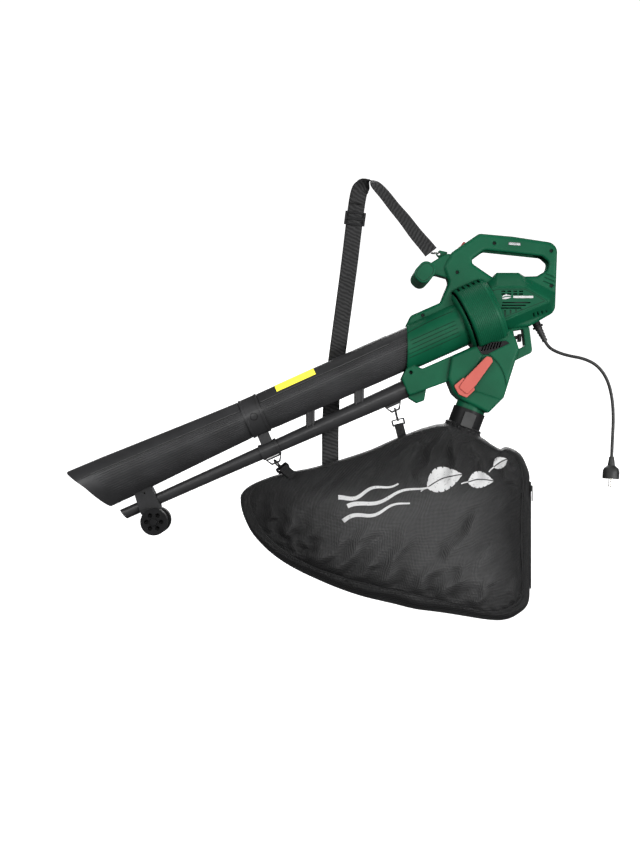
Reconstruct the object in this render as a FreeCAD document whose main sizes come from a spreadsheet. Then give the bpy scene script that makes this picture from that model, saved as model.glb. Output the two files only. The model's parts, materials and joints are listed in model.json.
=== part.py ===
"""Corded electric leaf blower and vacuum with tube, blow pipe, catch bag and shoulder strap.

Millimetres. The origin is the centre of the rear handle grip, +X points to the rear, +Z up and
+Y to the right-hand side of the machine. The tubes, fan and motor share a machine frame tilted
about Y: u runs backwards along the tubes and w is square to it.
"""
import FreeCAD, Part
import math
import os

import Sketcher
from FreeCAD import Placement, Rotation, Vector

SIZES = {
    "tilt": 24.0,             # nozzle-down angle of the tubes, degrees
    "wall": 3.0,              # plastic wall of the housing
    "tube_drop": 113.0,       # suction tube, fan and motor axis below the origin, across the tubes
    "pipe_drop": 195.0,       # blow pipe axis, same direction
    "tube_wall": 2.2,
    "tube_r": 44.6,           # suction tube where it enters the housing
    "tube_neck_r": 42.2,      # suction tube at the coupling
    "mouth_r": 54.0,
    "ledge": 1.2,             # raised top facet of the suction tube
    "pipe_wall": 2.0,
    "pipe_r": 20.4,           # blow pipe where it enters the housing
    "pipe_neck_r": 15.2,
    "tip_r": 12.3,
    "collar_wall": 3.2,
    "duct_r": 50.0,           # inlet sleeve of the housing
    "drum_r": 78.0,           # fan casing
    "impeller_r": 66.0,
    "motor_r": 44.0,          # bore of the motor casing
    "shaft_r": 5.0,
    "fit": 0.05,              # radial running fit
    "frame_t": 39.0,          # handle frame, across
    "body_t": 76.0,           # discharge body, across
    "motor_t": 100.0,         # motor block, across
    "grip_length": 100.0,     # front handle bar
    "wheel_r": 30.0,
    "wheel_t": 18.0,
    "wheel_track": 55.0,
    "axle_r": 4.0,
    "spigot_r": 33.5,         # bag outlet
    "connector_r": 36.6,
    "bag_wall": 1.6,
    "strap_w": 38.0,
    "strap_t": 1.8,
    "cord_r": 3.6,
    "wire_r": 2.0,            # wire of the eyelets and snap hooks
    "lever_t": 8.0,
    "vent_t": 3.0,
}

DOC = FreeCAD.newDocument("leaf_blower")
SHEET = DOC.addObject("Spreadsheet::Sheet", "Sizes")
NODES = []
UP = Vector(0, 0, 1)
ACROSS = Vector(0, 1, 0)


def fill_sheet():
    """Write every driving dimension into a named cell."""
    for row, (word, value) in enumerate(SIZES.items(), start=1):
        SHEET.set(f"A{row}", word)
        SHEET.set(f"B{row}", str(value))
        SHEET.setAlias(f"B{row}", word)
    DOC.recompute()


def number(expression):
    """The value of a sheet expression."""
    return float(SHEET.evalExpression(str(expression)))


def s(word):
    """One driving dimension, read back from the sheet."""
    return number(f"Sizes.{word}")


def machine(u=0.0, y=0.0, w=0.0):
    """Placement of a point of the machine frame, turned with the tubes."""
    tilted = Placement(Vector(0, 0, 0), Rotation(ACROSS, -s("tilt")))
    return tilted.multiply(Placement(Vector(u, y, w), Rotation()))


def at_machine(u, w, y=0.0):
    """Row-frame position of a point given along (u) and across (w) the tubes."""
    return machine(u, y, w).Base


def node(thing, label):
    """Keep an object as a sub-part under its node name."""
    thing.Label = label
    NODES.append(thing)
    return thing


def rod(name, radius, length, start, direction):
    """Cylinder with bound radius and length, from a start point along a direction."""
    thing = DOC.addObject("Part::Cylinder", name)
    thing.setExpression("Radius", str(radius))
    thing.setExpression("Height", str(length))
    thing.Placement = Placement(start, Rotation(UP, direction))
    return thing


def cross_rod(name, radius, length, x, z, y=0.0):
    """Cylinder centred on y, lying across the machine."""
    return rod(name, radius, length, Vector(x, y - number(length) / 2, z), ACROSS)


def block(name, sizes, centre, turn=None):
    """Box with bound sizes, centred on a point and turned about it."""
    thing = DOC.addObject("Part::Box", name)
    for prop, size in zip(("Length", "Width", "Height"), sizes):
        thing.setExpression(prop, str(size))
    half = Placement(Vector(*[-number(size) / 2 for size in sizes]), Rotation())
    thing.Placement = Placement(centre, turn or Rotation()).multiply(half)
    return thing


def fuse(name, things):
    """Union of several objects."""
    thing = DOC.addObject("Part::MultiFuse", name)
    thing.Shapes = things
    return thing


def cut(name, base, tools):
    """Base with one or more tools taken away."""
    tool = tools[0] if len(tools) == 1 else fuse(f"{name}_tools", tools)
    thing = DOC.addObject("Part::Cut", name)
    thing.Base = base
    thing.Tool = tool
    return thing


def plane(body, role):
    """One of a body's own origin planes or axes."""
    return [feature for feature in body.Origin.OriginFeatures if feature.Role == role][0]


def draw(sketch, corners):
    """Closed outline through corners (x, y) or (x, y, r), each r a tangent arc."""
    points = [Vector(corner[0], corner[1], 0) for corner in corners]
    radii = [corner[2] if len(corner) > 2 else 0.0 for corner in corners]
    ends = []
    arcs = []
    for index, point in enumerate(points):
        before = (points[index - 1] - point).normalize()
        after = (points[(index + 1) % len(points)] - point).normalize()
        if radii[index] == 0.0:
            ends.append((point, point))
            continue
        half = before.getAngle(after) / 2
        back = radii[index] / math.tan(half)
        start, stop = point + before * back, point + after * back
        bisector = (before + after).normalize()
        middle = point + bisector * (radii[index] / math.sin(half) - radii[index])
        ends.append((start, stop))
        arcs.append(Part.Arc(start, middle, stop))
    for index in range(len(points)):
        leave = ends[index][1]
        arrive = ends[(index + 1) % len(points)][0]
        if (arrive - leave).Length > 1e-6:
            sketch.addGeometry(Part.LineSegment(leave, arrive), False)
    for arc in arcs:
        sketch.addGeometry(arc, False)


def new_body(name, corner_sets, role="XZ_Plane"):
    """Body with one sketch of one or more closed outlines on an origin plane."""
    body = DOC.addObject("PartDesign::Body", name)
    sketch = body.newObject("Sketcher::SketchObject", f"{name}_sketch")
    sketch.AttachmentSupport = [(plane(body, role), "")]
    sketch.MapMode = "FlatFace"
    for corners in corner_sets:
        draw(sketch, corners)
    return body, sketch


def plate(name, corner_sets, thickness, placement=None):
    """Outline in the XZ plane padded both ways across it by a bound thickness."""
    body, sketch = new_body(name, corner_sets)
    pad = body.newObject("PartDesign::Pad", f"{name}_pad")
    pad.Profile = sketch
    pad.Midplane = True
    pad.setExpression("Length", str(thickness))
    if placement:
        body.Placement = placement
    return body


def softened(body, radius):
    """Round the long edges round both faces of a padded plate."""
    DOC.recompute()
    pad = body.Tip
    reach = max(abs(v.Y) for v in pad.Shape.Vertexes)
    edges = [f"Edge{n}" for n, edge in enumerate(pad.Shape.Edges, start=1)
             if all(abs(abs(v.Y) - reach) < 1e-4 for v in edge.Vertexes)]
    fillet = body.newObject("PartDesign::Fillet", f"{body.Name}_round")
    fillet.Base = (pad, edges)
    fillet.setExpression("Radius", str(radius))
    return body


def turned(name, corners, placement, angle=360):
    """Outline (along, radius) revolved about its own horizontal axis, middled on +Z."""
    body, sketch = new_body(name, [corners])
    spin = body.newObject("PartDesign::Revolution", f"{name}_turn")
    spin.Profile = sketch
    spin.ReferenceAxis = (sketch, ["H_Axis"])
    spin.Angle = angle
    spin.Midplane = angle < 360
    body.Placement = placement
    return body


def on_tube(u=0.0):
    """Placement with its X axis on the suction tube, fan and motor axis."""
    return machine(u, 0, -s("tube_drop"))


def on_pipe(u=0.0):
    """Placement with its X axis on the blow pipe axis."""
    return machine(u, 0, -s("pipe_drop"))


def shell_outline(outer, wall):
    """Closed wall section of a turned sleeve: outer points, then the same points moved in."""
    inner = [(along, radius - wall) for along, radius in reversed(outer)]
    return list(outer) + inner


def core_outline(outer):
    """Closed section of the solid space inside a turned outer line."""
    return list(outer) + [(outer[-1][0], 0.0), (outer[0][0], 0.0)]


def tube_line():
    """Outer line of both suction tubes as (u, radius), rear to mouth."""
    neck, root, mouth = s("tube_neck_r"), s("tube_r"), s("mouth_r")
    return [(-255, root), (-400, root), (-665, neck), (-708, neck),
            (-802, neck + 2.8), (-890, neck + 6.0), (-1040, mouth), (-1135, mouth + 2.0)]


def pipe_line():
    """Outer line of both blow pipes as (u, radius), rear to tip."""
    neck, root, tip = s("pipe_neck_r"), s("pipe_r"), s("tip_r")
    return [(-300, root), (-353, root), (-665, neck), (-708, neck), (-800, 14.0), (-1010, tip),
            (-1053, tip)]


def part_of(line, front, rear):
    """The stretch of a (u, radius) line between two u values."""
    def radius_at(u):
        for (u1, r1), (u2, r2) in zip(line, line[1:]):
            if u2 <= u <= u1:
                return r1 + (r2 - r1) * (u - u1) / (u2 - u1)
        raise ValueError(u)
    middle = [point for point in line if front < point[0] < rear]
    return [(rear, radius_at(rear))] + middle + [(front, radius_at(front))]


def ledge(name, line, placement):
    """Raised facet along the top third of a tube."""
    high = [(u, radius + s("ledge")) for u, radius in line]
    low = [(u, radius - 0.8) for u, radius in reversed(line)]
    return turned(name, high + low, placement, angle=120)


def suction_tubes():
    """Upper and lower suction tube, butted inside the coupling collar; scooped mouth."""
    line = tube_line()
    joint = -686.5
    upper = turned("upper_tube_wall", shell_outline(part_of(line, joint, -255), s("tube_wall")),
                   on_tube())
    upper_ledge = ledge("upper_ledge", part_of(line, -663, -344), on_tube())
    node(fuse("upper_tube", [upper, upper_ledge]), "upper_suction_tube")
    lower = turned("lower_tube_wall", shell_outline(part_of(line, -1135, joint), s("tube_wall")),
                   on_tube())
    lower_ledge = ledge("lower_ledge", part_of(line, -1120, -710), on_tube())
    scoop = plate("mouth_scoop", [[(-1132, 70), (-1090, 6, 70), (-1056, -70), (-1200, -70),
                                   (-1200, 70)]], "4*Sizes.mouth_r", on_tube())
    node(cut("lower_tube", fuse("lower_tube_full", [lower, lower_ledge]), [scoop]),
         "lower_suction_tube")


def blow_pipes():
    """Upper and lower blow pipe; the tip is cut a little oblique."""
    line = pipe_line()
    joint = -686.5
    upper = turned("upper_pipe", shell_outline(part_of(line, joint, -300), s("pipe_wall")),
                   on_pipe())
    node(upper, "upper_blow_pipe")
    lower = turned("lower_pipe_wall", shell_outline(part_of(line, -1053, joint), s("pipe_wall")),
                   on_pipe())
    tip = plate("tip_cut", [[(-1051, 20), (-1040, -20), (-1080, -20), (-1080, 20)]], "40",
                on_pipe())
    node(cut("lower_pipe", lower, [tip]), "lower_blow_pipe")


def collars():
    """Coupling ring with a bead at each end, over the joint of each tube."""
    rings = []
    for name, radius, placement in (("tube_ring", s("tube_neck_r"), on_tube()),
                                    ("pipe_ring", s("pipe_neck_r"), on_pipe())):
        outer = radius + number("Sizes.collar_wall")
        rings.append(turned(name, [(-708, radius), (-708, outer), (-702, outer),
                                   (-702, outer - 0.8), (-671, outer - 0.8), (-671, outer),
                                   (-665, outer), (-665, radius)], placement))
    node(fuse("rings_all", rings), "tube_collars")


def tube_core(name):
    """Solid space of the suction tube with its collar, for saddles cut round it."""
    over = s("tube_neck_r") + s("collar_wall")
    line = tube_line()
    outline = part_of(line, -665, -255) + [(-665, over), (-708, over)] + line[3:]
    return turned(name, core_outline(outline), on_tube())


def pipe_core(name):
    """Solid space of the blow pipe with its collar."""
    over = s("pipe_neck_r") + s("collar_wall")
    line = pipe_line()
    outline = part_of(line, -665, -300) + [(-665, over), (-708, over)] + line[3:]
    return turned(name, core_outline(outline), on_pipe())


def spacers():
    """Two ribbed posts and a collar block that hold the pipe below the tube."""
    posts = []
    for name, x, z, width in (("front_tube_spacer", -456, -388, 20),
                              ("rear_tube_spacer", -346.5, -341, 22)):
        post = block(f"{name}_post", (width, 24, 50), Vector(x, 0, z))
        ribs = [block(f"{name}_rib{side}", (3, 29, 50), Vector(x + side * (width / 2 - 4), 0, z))
                for side in (-1, 1)]
        solid = fuse(f"{name}_solid", [post] + ribs)
        posts.append(cut(f"{name}_cut", solid, [tube_core(f"{name}_tube"),
                                                pipe_core(f"{name}_pipe")]))
    middle = block("collar_post", (26, 22, 32), at_machine(-686, -166),
                   Rotation(ACROSS, -s("tilt")))
    posts.append(cut("collar_post_cut", middle, [tube_core("collar_tube"),
                                                 pipe_core("collar_pipe")]))
    node(fuse("posts_all", posts), "tube_spacers")


WHEEL_U = -985.0
WHEEL_W = -238.0


def front_bracket():
    """Bracket between the tubes that clasps the pipe and carries the wheel axle."""
    side = [(-1001, -150), (-963, -150), (-960, -205, 8), (-971, -249, 10), (-999, -249, 10),
            (-1008, -205, 8)]
    solid = plate("bracket_side", [side], "32", machine())
    bore = rod("bracket_bore", "Sizes.axle_r", 60, at_machine(WHEEL_U, WHEEL_W, -30), ACROSS)
    screw_hole = rod("bracket_screw_hole", 2.2, 60, at_machine(-981, -171, -30), ACROSS)
    tools = [tube_core("bracket_tube"), pipe_core("bracket_pipe"), bore, screw_hole]
    node(cut("bracket_cut", solid, tools), "front_bracket")


def wheels():
    """Axle, two spoked wheels and the caps that keep them on."""
    centre = at_machine(WHEEL_U, WHEEL_W)
    axle_length = number("Sizes.wheel_track + Sizes.wheel_t + 10")
    node(cross_rod("axle", "Sizes.axle_r", axle_length, centre.x, centre.z), "wheel_axle")
    rings = []
    for side, word in ((-1, "left"), (1, "right")):
        y = side * s("wheel_track") / 2
        tyre = cross_rod(f"tyre_{word}", "Sizes.wheel_r", "Sizes.wheel_t", centre.x, centre.z, y)
        tools = [cross_rod(f"hub_{word}", "Sizes.axle_r + Sizes.fit", 60, centre.x, centre.z, y)]
        for turn in range(6):
            angle = math.radians(60 * turn)
            pocket = cross_rod(f"pocket_{word}{turn}", 5.0, "Sizes.wheel_t - 5",
                               centre.x + 16.5 * math.cos(angle), centre.z + 16.5 * math.sin(angle),
                               y + side * 5)
            tools.append(pocket)
        node(cut(f"wheel_{word}_cut", tyre, tools), f"wheel_{word}")
        outer = s("wheel_track") / 2 + s("wheel_t") / 2 + 0.4
        cap = cross_rod(f"cap_{word}", 7.5, 6, centre.x, centre.z, side * (outer + 3))
        seat = cross_rod(f"cap_seat_{word}", "Sizes.axle_r", axle_length, centre.x, centre.z)
        rings.append(cut(f"cap_{word}_cut", cap, [seat]))
        inner = s("wheel_track") / 2 - s("wheel_t") / 2 - 0.4
        bush = cross_rod(f"bush_{word}", 7.5, inner - 16, centre.x, centre.z,
                         side * (inner + 16) / 2)
        bush_seat = cross_rod(f"bush_seat_{word}", "Sizes.axle_r", axle_length, centre.x,
                              centre.z)
        rings.append(cut(f"bush_{word}_cut", bush, [bush_seat]))
    node(fuse("rings_all", rings), "axle_collars")


def eyelet(name, left, right, top):
    """Trapezoid ring below the pipe for a snap hook."""
    outer = [(left, top + 6), (right, top + 6), (right, top), (right - 10, top - 17, 3),
             (left + 9, top - 17, 3), (left, top)]
    inner = [(left + 5, top - 4), (left + 11.5, top - 13), (right - 12.5, top - 13),
             (right - 5, top - 4)]
    ring = plate(f"{name}_ring", [outer, inner], "2*Sizes.wire_r", machine())
    return cut(f"{name}_cut", ring, [pipe_core(f"{name}_pipe")])


def eyelets():
    front = eyelet("front_eyelet", -705, -665, -213.4)
    rear = eyelet("rear_eyelet", -411, -372, -215.6)
    node(fuse("eyelets_all", [front, rear]), "bag_eyelets")


def snap_hook(word, wire, loop):
    """Hook ring round an eyelet wire, sprung gate, and swivel loop for the bag tab."""
    down = Rotation(Vector(0, 0, -1), loop - wire)
    place = Placement(wire, down)
    radius = 9.5
    centre_z = 5.4 - radius
    gap = (-40.0, 25.0)

    def local(x, y, z):
        return place.multVec(Vector(x, y, z))

    def along(x, y, z):
        return down.multVec(Vector(x, y, z))

    ring = DOC.addObject("Part::Torus", f"{word}_ring")
    ring.Radius1 = radius
    ring.setExpression("Radius2", "Sizes.wire_r")
    ring.Angle3 = 360 - (gap[1] - gap[0])
    stand = Placement(Vector(0, 0, centre_z), Rotation(Vector(0, 1, 0), 90))
    spun = Placement(Vector(0, 0, 0), Rotation(UP, gap[1] + 90))
    ring.Placement = place.multiply(stand).multiply(spun)
    stem_top = centre_z - radius
    shank = rod(f"{word}_shank", 2.6, 4.5, local(0, 0, stem_top - 5.5), along(0, 0, 1))
    stem = rod(f"{word}_stem", 1.6, 6, local(0, 0, stem_top - 10.5), along(0, 0, 1))
    head = rod(f"{word}_head", 3.2, 1.6, local(0, 0, stem_top - 11.4), along(0, 0, 1))
    node(fuse(f"{word}_hook_all", [ring, shank, stem, head]), f"{word}_hook")
    low, high = [Vector(0, radius * math.cos(math.radians(a)), centre_z
                        + radius * math.sin(math.radians(a))) for a in gap]
    reach = high - low
    reach.normalize()
    start = low + reach * 2.6
    length = (high - low).Length - 2.6 - 1.3
    wire_gate = rod(f"{word}_gate_rod", 1.5, length, place.multVec(start), down.multVec(reach))
    knuckle = rod(f"{word}_gate_knuckle", 1.7, 5, place.multVec(start - Vector(2.5, 0, 0)),
                  along(1, 0, 0))
    node(fuse(f"{word}_gate_all", [wire_gate, knuckle]), f"{word}_hook_gate")
    bar_z = stem_top - 7.3
    outer = [(-15, bar_z + 1.4, 3), (15, bar_z + 1.4, 3), (15, bar_z - 13.6, 3),
             (-15, bar_z - 13.6, 3)]
    inner = [(-11.4, bar_z - 1.4), (11.4, bar_z - 1.4), (11.4, bar_z - 10), (-11.4, bar_z - 10)]
    loop_ring = plate(f"{word}_loop_ring", [outer, inner], "7", place)
    hole = rod(f"{word}_loop_hole", 1.9, 6, local(0, 0, bar_z - 3), along(0, 0, 1))
    swivel_loop = cut(f"{word}_loop_cut", loop_ring, [hole])
    tab = block(f"{word}_tab_web", (20, 11, 34), local(0, 0, bar_z - 26.0), down)
    slot = block(f"{word}_tab_slot", (24, 7, 8), local(0, 0, bar_z - 13.6 + 0.6), down)
    web = cut(f"{word}_tab_cut", tab, [slot, bag_solid(f"{word}_tab_bag", 0.0)])
    return swivel_loop, web


def snap_hooks():
    front_loop, front_tab = snap_hook("front", at_machine(-685.5, -228.4), Vector(-515, -22, -501))
    rear_loop, rear_tab = snap_hook("rear", at_machine(-392.5, -230.6), Vector(-256, 0, -405))
    node(fuse("loops_all", [front_loop, rear_loop]), "swivel_loops")
    node(fuse("tabs_all", [front_tab, rear_tab]), "bag_tabs")


def tube_label():
    """Plain yellow sticker on the top facet of the upper tube."""
    line = part_of(tube_line(), -618, -523)
    low = [(u, radius + s("ledge")) for u, radius in line]
    high = [(u, radius + s("ledge") + 0.4) for u, radius in reversed(line)]
    node(turned("label_film", low + high, on_tube(), angle=100), "tube_label")


FRAME = [(-165, -128.5, 8), (-231, -157.5, 12), (-241, -178), (-241, -205), (-120, -150),
         (-60, -165), (-8, -187), (33, -183, 14), (92, -149, 24), (97.5, 4, 24),
         (-4.5, 19.4, 80), (-78, 26, 14), (-139.5, -16, 13), (-159, -50, 20), (-147, -84, 12)]
HAND_HOLE = [(-99, -37, 8), (-67, -13.5, 14), (61, -27, 12), (76, -40, 9), (72, -56, 10),
             (50, -69, 8), (-49, -71, 8)]
BODY = [(-142, -251, 8), (-84, -225), (-84, -190), (-12, -190), (1, -213), (8, -235),
        (-1, -262), (-26, -342, 8), (-61, -377, 6), (-122, -346, 10), (-137, -332, 14),
        (-150, -300, 14)]
SLEEVE = [(-252.5, -299.5, 3), (-236, -265, 3), (-206, -277, 8), (-115, -237, 8), (-96, -228),
          (-96, -290), (-150, -306, 10), (-236.5, -337.5, 6)]
SCREWS = [(-45, 3), (82, -14), (82, -92), (-128, -62), (-205, -158), (-232, -286)]
OUTLET_X, OUTLET_Z = -98.0, -370.0
OUTLET_DOWN = Vector(-0.357, 0, -0.934)
PIVOT_X, PIVOT_Z = -113.0, -321.0


def outlet(distance, y=0.0):
    """Point on the bag outlet axis, a distance down from the housing's end."""
    return Vector(OUTLET_X, y, OUTLET_Z) + OUTLET_DOWN * distance


def hollow(name, corner_sets, thickness, inset="Sizes.wall"):
    """Solid of the space inside a padded outline, one wall in from all its faces."""
    sketch = DOC.addObject("Sketcher::SketchObject", f"{name}_sketch")
    sketch.Placement = Placement(Vector(0, 0, 0), Rotation(Vector(1, 0, 0), 90))
    for corners in corner_sets:
        draw(sketch, corners)
    smaller = DOC.addObject("Part::Offset2D", f"{name}_inset")
    smaller.Source = sketch
    smaller.setExpression("Value", f"-{inset}")
    space = DOC.addObject("Part::Extrusion", name)
    space.Base = smaller
    space.DirMode = "Custom"
    space.Dir = ACROSS
    space.Symmetric = True
    space.Solid = True
    space.setExpression("LengthFwd", f"{thickness} - 2*{inset}")
    return space


def motor_block():
    """Faceted block round the motor, drawn in to a flat panel on each side."""
    wide = [(-62, -84), (-39, -62), (10, -62), (93, -105), (86, -152), (-15, -190)]
    flat = [(-66, -106), (-44, -97), (21, -97), (72, -126), (73, -131), (-40, -179)]
    sections = []
    half = s("motor_t") / 2
    for index, (corners, y) in enumerate(((flat, -half), (wide, -14), (wide, 14), (flat, half))):
        sketch = DOC.addObject("Sketcher::SketchObject", f"motor_section{index}")
        sketch.Placement = Placement(Vector(0, y, 0), Rotation(Vector(1, 0, 0), 90))
        draw(sketch, corners)
        sections.append(sketch)
    block_loft = DOC.addObject("Part::Loft", "motor_block")
    block_loft.Sections = sections
    block_loft.Solid = True
    block_loft.Ruled = True
    return block_loft


def housing_outside():
    """Everything the two housing halves enclose, as one solid."""
    frame = softened(plate("frame", [FRAME, HAND_HOLE], "Sizes.frame_t"), 8)
    body = softened(plate("discharge", [BODY], "Sizes.body_t"), 6)
    sleeve = softened(plate("pipe_sleeve", [SLEEVE], 54), 2.5)
    arm = plate("handle_arm", [[(-136, -15, 10), (-160, -24), (-196, -46, 8), (-214, -78, 8),
                                (-176, -66, 8), (-140, -76)]], 30)
    foot = plate("foot", [[(-238, -325), (-235, -343, 3), (-217, -354, 3), (-201, -348, 3),
                           (-196, -318)]], 30)
    duct = turned("duct", [(-352, 0), (-352, s("duct_r")), (-165, s("duct_r")), (-165, 0)],
                  on_tube())
    front = block("front_trim", (200, 200, 400), Vector(-341, 0, -140))
    square_duct = cut("duct_cut", duct, [front])
    drum_r = s("drum_r")
    drum = turned("drum", [(-178, 0), (-178, drum_r - 14, 10), (-166, drum_r, 12),
                           (-104, drum_r, 8), (-95, drum_r - 8), (-95, 0)], on_tube())
    spigot = rod("spigot", "Sizes.spigot_r", 70, outlet(-35), OUTLET_DOWN)
    spine = plate("grip_spine", [GRIP], 30, Placement(Vector(-203, 0, -66), Rotation(ACROSS, -48)))
    lug = plate("strap_lug", [[(-150, -30), (-166, -28), (-175, -19, 5), (-166, -10, 5),
                               (-148, -14)]], 7)
    lug_hole = cross_rod("lug_hole", 3.4, 20, -167, -18)
    return fuse("housing_outside", [frame, body, sleeve, arm, foot, square_duct, drum,
                                    motor_block(), spigot, spine,
                                    cut("strap_lug_cut", lug, [lug_hole])])


def housing_space():
    """Everything hollow inside the housing, less the screw bosses."""
    frame = hollow("frame_space", [FRAME, HAND_HOLE], "Sizes.frame_t", "(Sizes.wall + 1)")
    bosses = [cross_rod(f"boss{n}", 5.5, "Sizes.frame_t", x, z)
              for n, (x, z) in enumerate(SCREWS)]
    frame_open = cut("frame_space_open", frame, bosses)
    tube = rod("tube_seat", "Sizes.tube_r", 100, at_machine(-355, -s("tube_drop")),
               at_machine(1, 0))
    throat = rod("throat", "Sizes.tube_r - 2.4", 90, at_machine(-256, -s("tube_drop")),
                 at_machine(1, 0))
    drum = rod("drum_space", "Sizes.drum_r - Sizes.wall", 71, at_machine(-172, -s("tube_drop")),
               at_machine(1, 0))
    motor = rod("motor_space", "Sizes.motor_r", 76, at_machine(-106, -s("tube_drop")),
                at_machine(1, 0))
    brushes = rod("brush_space", 32, 30, at_machine(-32, -s("tube_drop")), at_machine(1, 0))
    body = hollow("discharge_space", [BODY], "Sizes.body_t")
    pipe = rod("pipe_seat", "Sizes.pipe_r", 60, at_machine(-360, -s("pipe_drop")),
               at_machine(1, 0))
    pipe_throat = rod("pipe_throat", "Sizes.pipe_r - 2", 80, at_machine(-301, -s("pipe_drop")),
                      at_machine(1, 0))
    spigot = rod("spigot_space", "Sizes.spigot_r - Sizes.wall", 90, outlet(-50), OUTLET_DOWN)
    return [frame_open, tube, throat, drum, motor, brushes, body, pipe, pipe_throat, spigot]


def side_cuts():
    """Holes for the panels, grilles, switch, lever, gland and screws."""
    half = s("motor_t") / 2
    tools = []
    for side in (-1, 1):
        panel = plate(f"panel_hole{side}", [PANEL], 14,
                      Placement(Vector(0, side * half, 0), Rotation()))
        grille = plate(f"grille_hole{side}", [GRILLE], 8,
                       Placement(Vector(0, side * s("body_t") / 2, 0), Rotation()))
        tools += [panel, grille]
        for turn in range(5):
            place = at_machine(-158 + 12 * turn, -s("tube_drop") + 71, side * 30)
            tools.append(block(f"drum_slot{side}{turn}", (5, 20, 24), place,
                               Rotation(ACROSS, -s("tilt"))))
        for turn, (x, z) in enumerate(((82, -70.5), (79, -78.5), (76, -86.5))):
            tools.append(block(f"frame_groove{side}{turn}", (26, 3, 2.6),
                               Vector(x, side * s("frame_t") / 2, z), Rotation(ACROSS, 23)))
        for turn in range(4):
            tools.append(block(f"motor_groove{side}{turn}", (20 - 3 * turn, 14, 2.8),
                               Vector(42 + 9.6 * turn, side * 29, -161 + 2.7 * turn),
                               Rotation(ACROSS, 62)))
    slope = Rotation(ACROSS, -34)
    tools.append(block("switch_slot", (29, 15, 40), Vector(-115, 0, -3), slope))
    tools.append(rod("selector_hole", "6 + Sizes.fit", 90, Vector(PIVOT_X, -50, PIVOT_Z), ACROSS))
    sector = DOC.addObject("Part::Cylinder", "lever_recess")
    sector.Radius = 92
    sector.Height = 1.4
    sector.Angle = 80
    turn_in = Placement(Vector(PIVOT_X, -s("body_t") / 2 + 1.4, PIVOT_Z),
                        Rotation(Vector(1, 0, 0), 90))
    sector.Placement = turn_in.multiply(Placement(Vector(0, 0, 0), Rotation(UP, -18)))
    tools.append(sector)
    tools.append(rod("gland_hole", 9.0, 30, Vector(45, 0, -160), GLAND_DOWN))
    for n, (x, z) in enumerate(SCREWS):
        tools.append(cross_rod(f"screw_hole{n}", 1.9, 33, x, z, -1))
        tools.append(cross_rod(f"screw_recess{n}", 4, 44, x, z, -37))
    return tools


PANEL = [(-60, -108), (-43, -101), (19, -101), (66, -128), (67, -131), (-38, -173)]
GRIP = [(-24, -19.5, 17), (24, -19.5, 17), (24, 19.5, 17), (-24, 19.5, 17)]
GRILLE = [(-86, -230), (-78, -222), (-22, -216), (-15, -222), (-64, -246), (-76, -246)]
GLAND_DOWN = Vector(0.447, 0, -0.894)


def housing():
    """Two clamshell halves that meet on the middle plane."""
    outside = housing_outside()
    loop = plate("stowage_loop", [[(-14, -180), (34, -184), (41, -240, 10), (-4, -262),
                                   (-14, -240)],
                                  [(-2, -191.5), (20, -188), (24.5, -226, 4), (5, -234.5, 3),
                                   (2, -215)]], 30)
    node(cut("stowage_cut", loop, [outside]), "stowage_frame")
    casing = cut("housing_all", outside, housing_space() + side_cuts())
    for side, word in ((-1, "left"), (1, "right")):
        room = block(f"{word}_side", (900, 200, 900), Vector(-100, side * 100, -150))
        half = DOC.addObject("Part::MultiCommon", f"{word}_half")
        half.Shapes = [casing, room]
        node(half, f"housing_{word}")
    parts = []
    for n, (x, z) in enumerate(SCREWS):
        parts.append(cross_rod(f"screw_shank{n}", 1.9, 33, x, z, -1))
        parts.append(cross_rod(f"screw_head{n}", 3.6, 2.5, x, z, -16.25))
    node(fuse("screws_all", parts), "housing_screws")


def side_panels():
    """Slotted vent panels over the motor and fine grilles beside the fan."""
    grilles = []
    for side, word in ((-1, "left"), (1, "right")):
        y = side * (s("motor_t") / 2 - 1.5)
        panel = plate(f"{word}_panel", [PANEL], "Sizes.vent_t",
                      Placement(Vector(0, y, 0), Rotation()))
        slots = [block(f"{word}_slot{row}{n}", (9, 12, 3), Vector(-30 + 13 * n, y, -108 - 6 * row))
                 for row in range(2) for n in range(4)]
        slots += [block(f"{word}_long_slot{row}", (62 - 9 * row, 12, 2.6),
                        Vector(-1 - 6 * row, y, -133 - 6 * row)) for row in range(3)]
        node(cut(f"{word}_panel_cut", panel, slots), f"motor_vent_{word}")
        y = side * (s("body_t") / 2 - 2)
        grille = plate(f"{word}_grille", [GRILLE], 4, Placement(Vector(0, y, 0), Rotation()))
        bars = [block(f"{word}_gap{n}", (2.6, 12, 15), Vector(-74 + 6.5 * n, y, -233 + 1.5 * n),
                      Rotation(ACROSS, 20)) for n in range(7)]
        grilles.append(cut(f"{word}_grille_cut", grille, bars))
    node(fuse("grilles_all", grilles), "fan_grilles")


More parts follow.
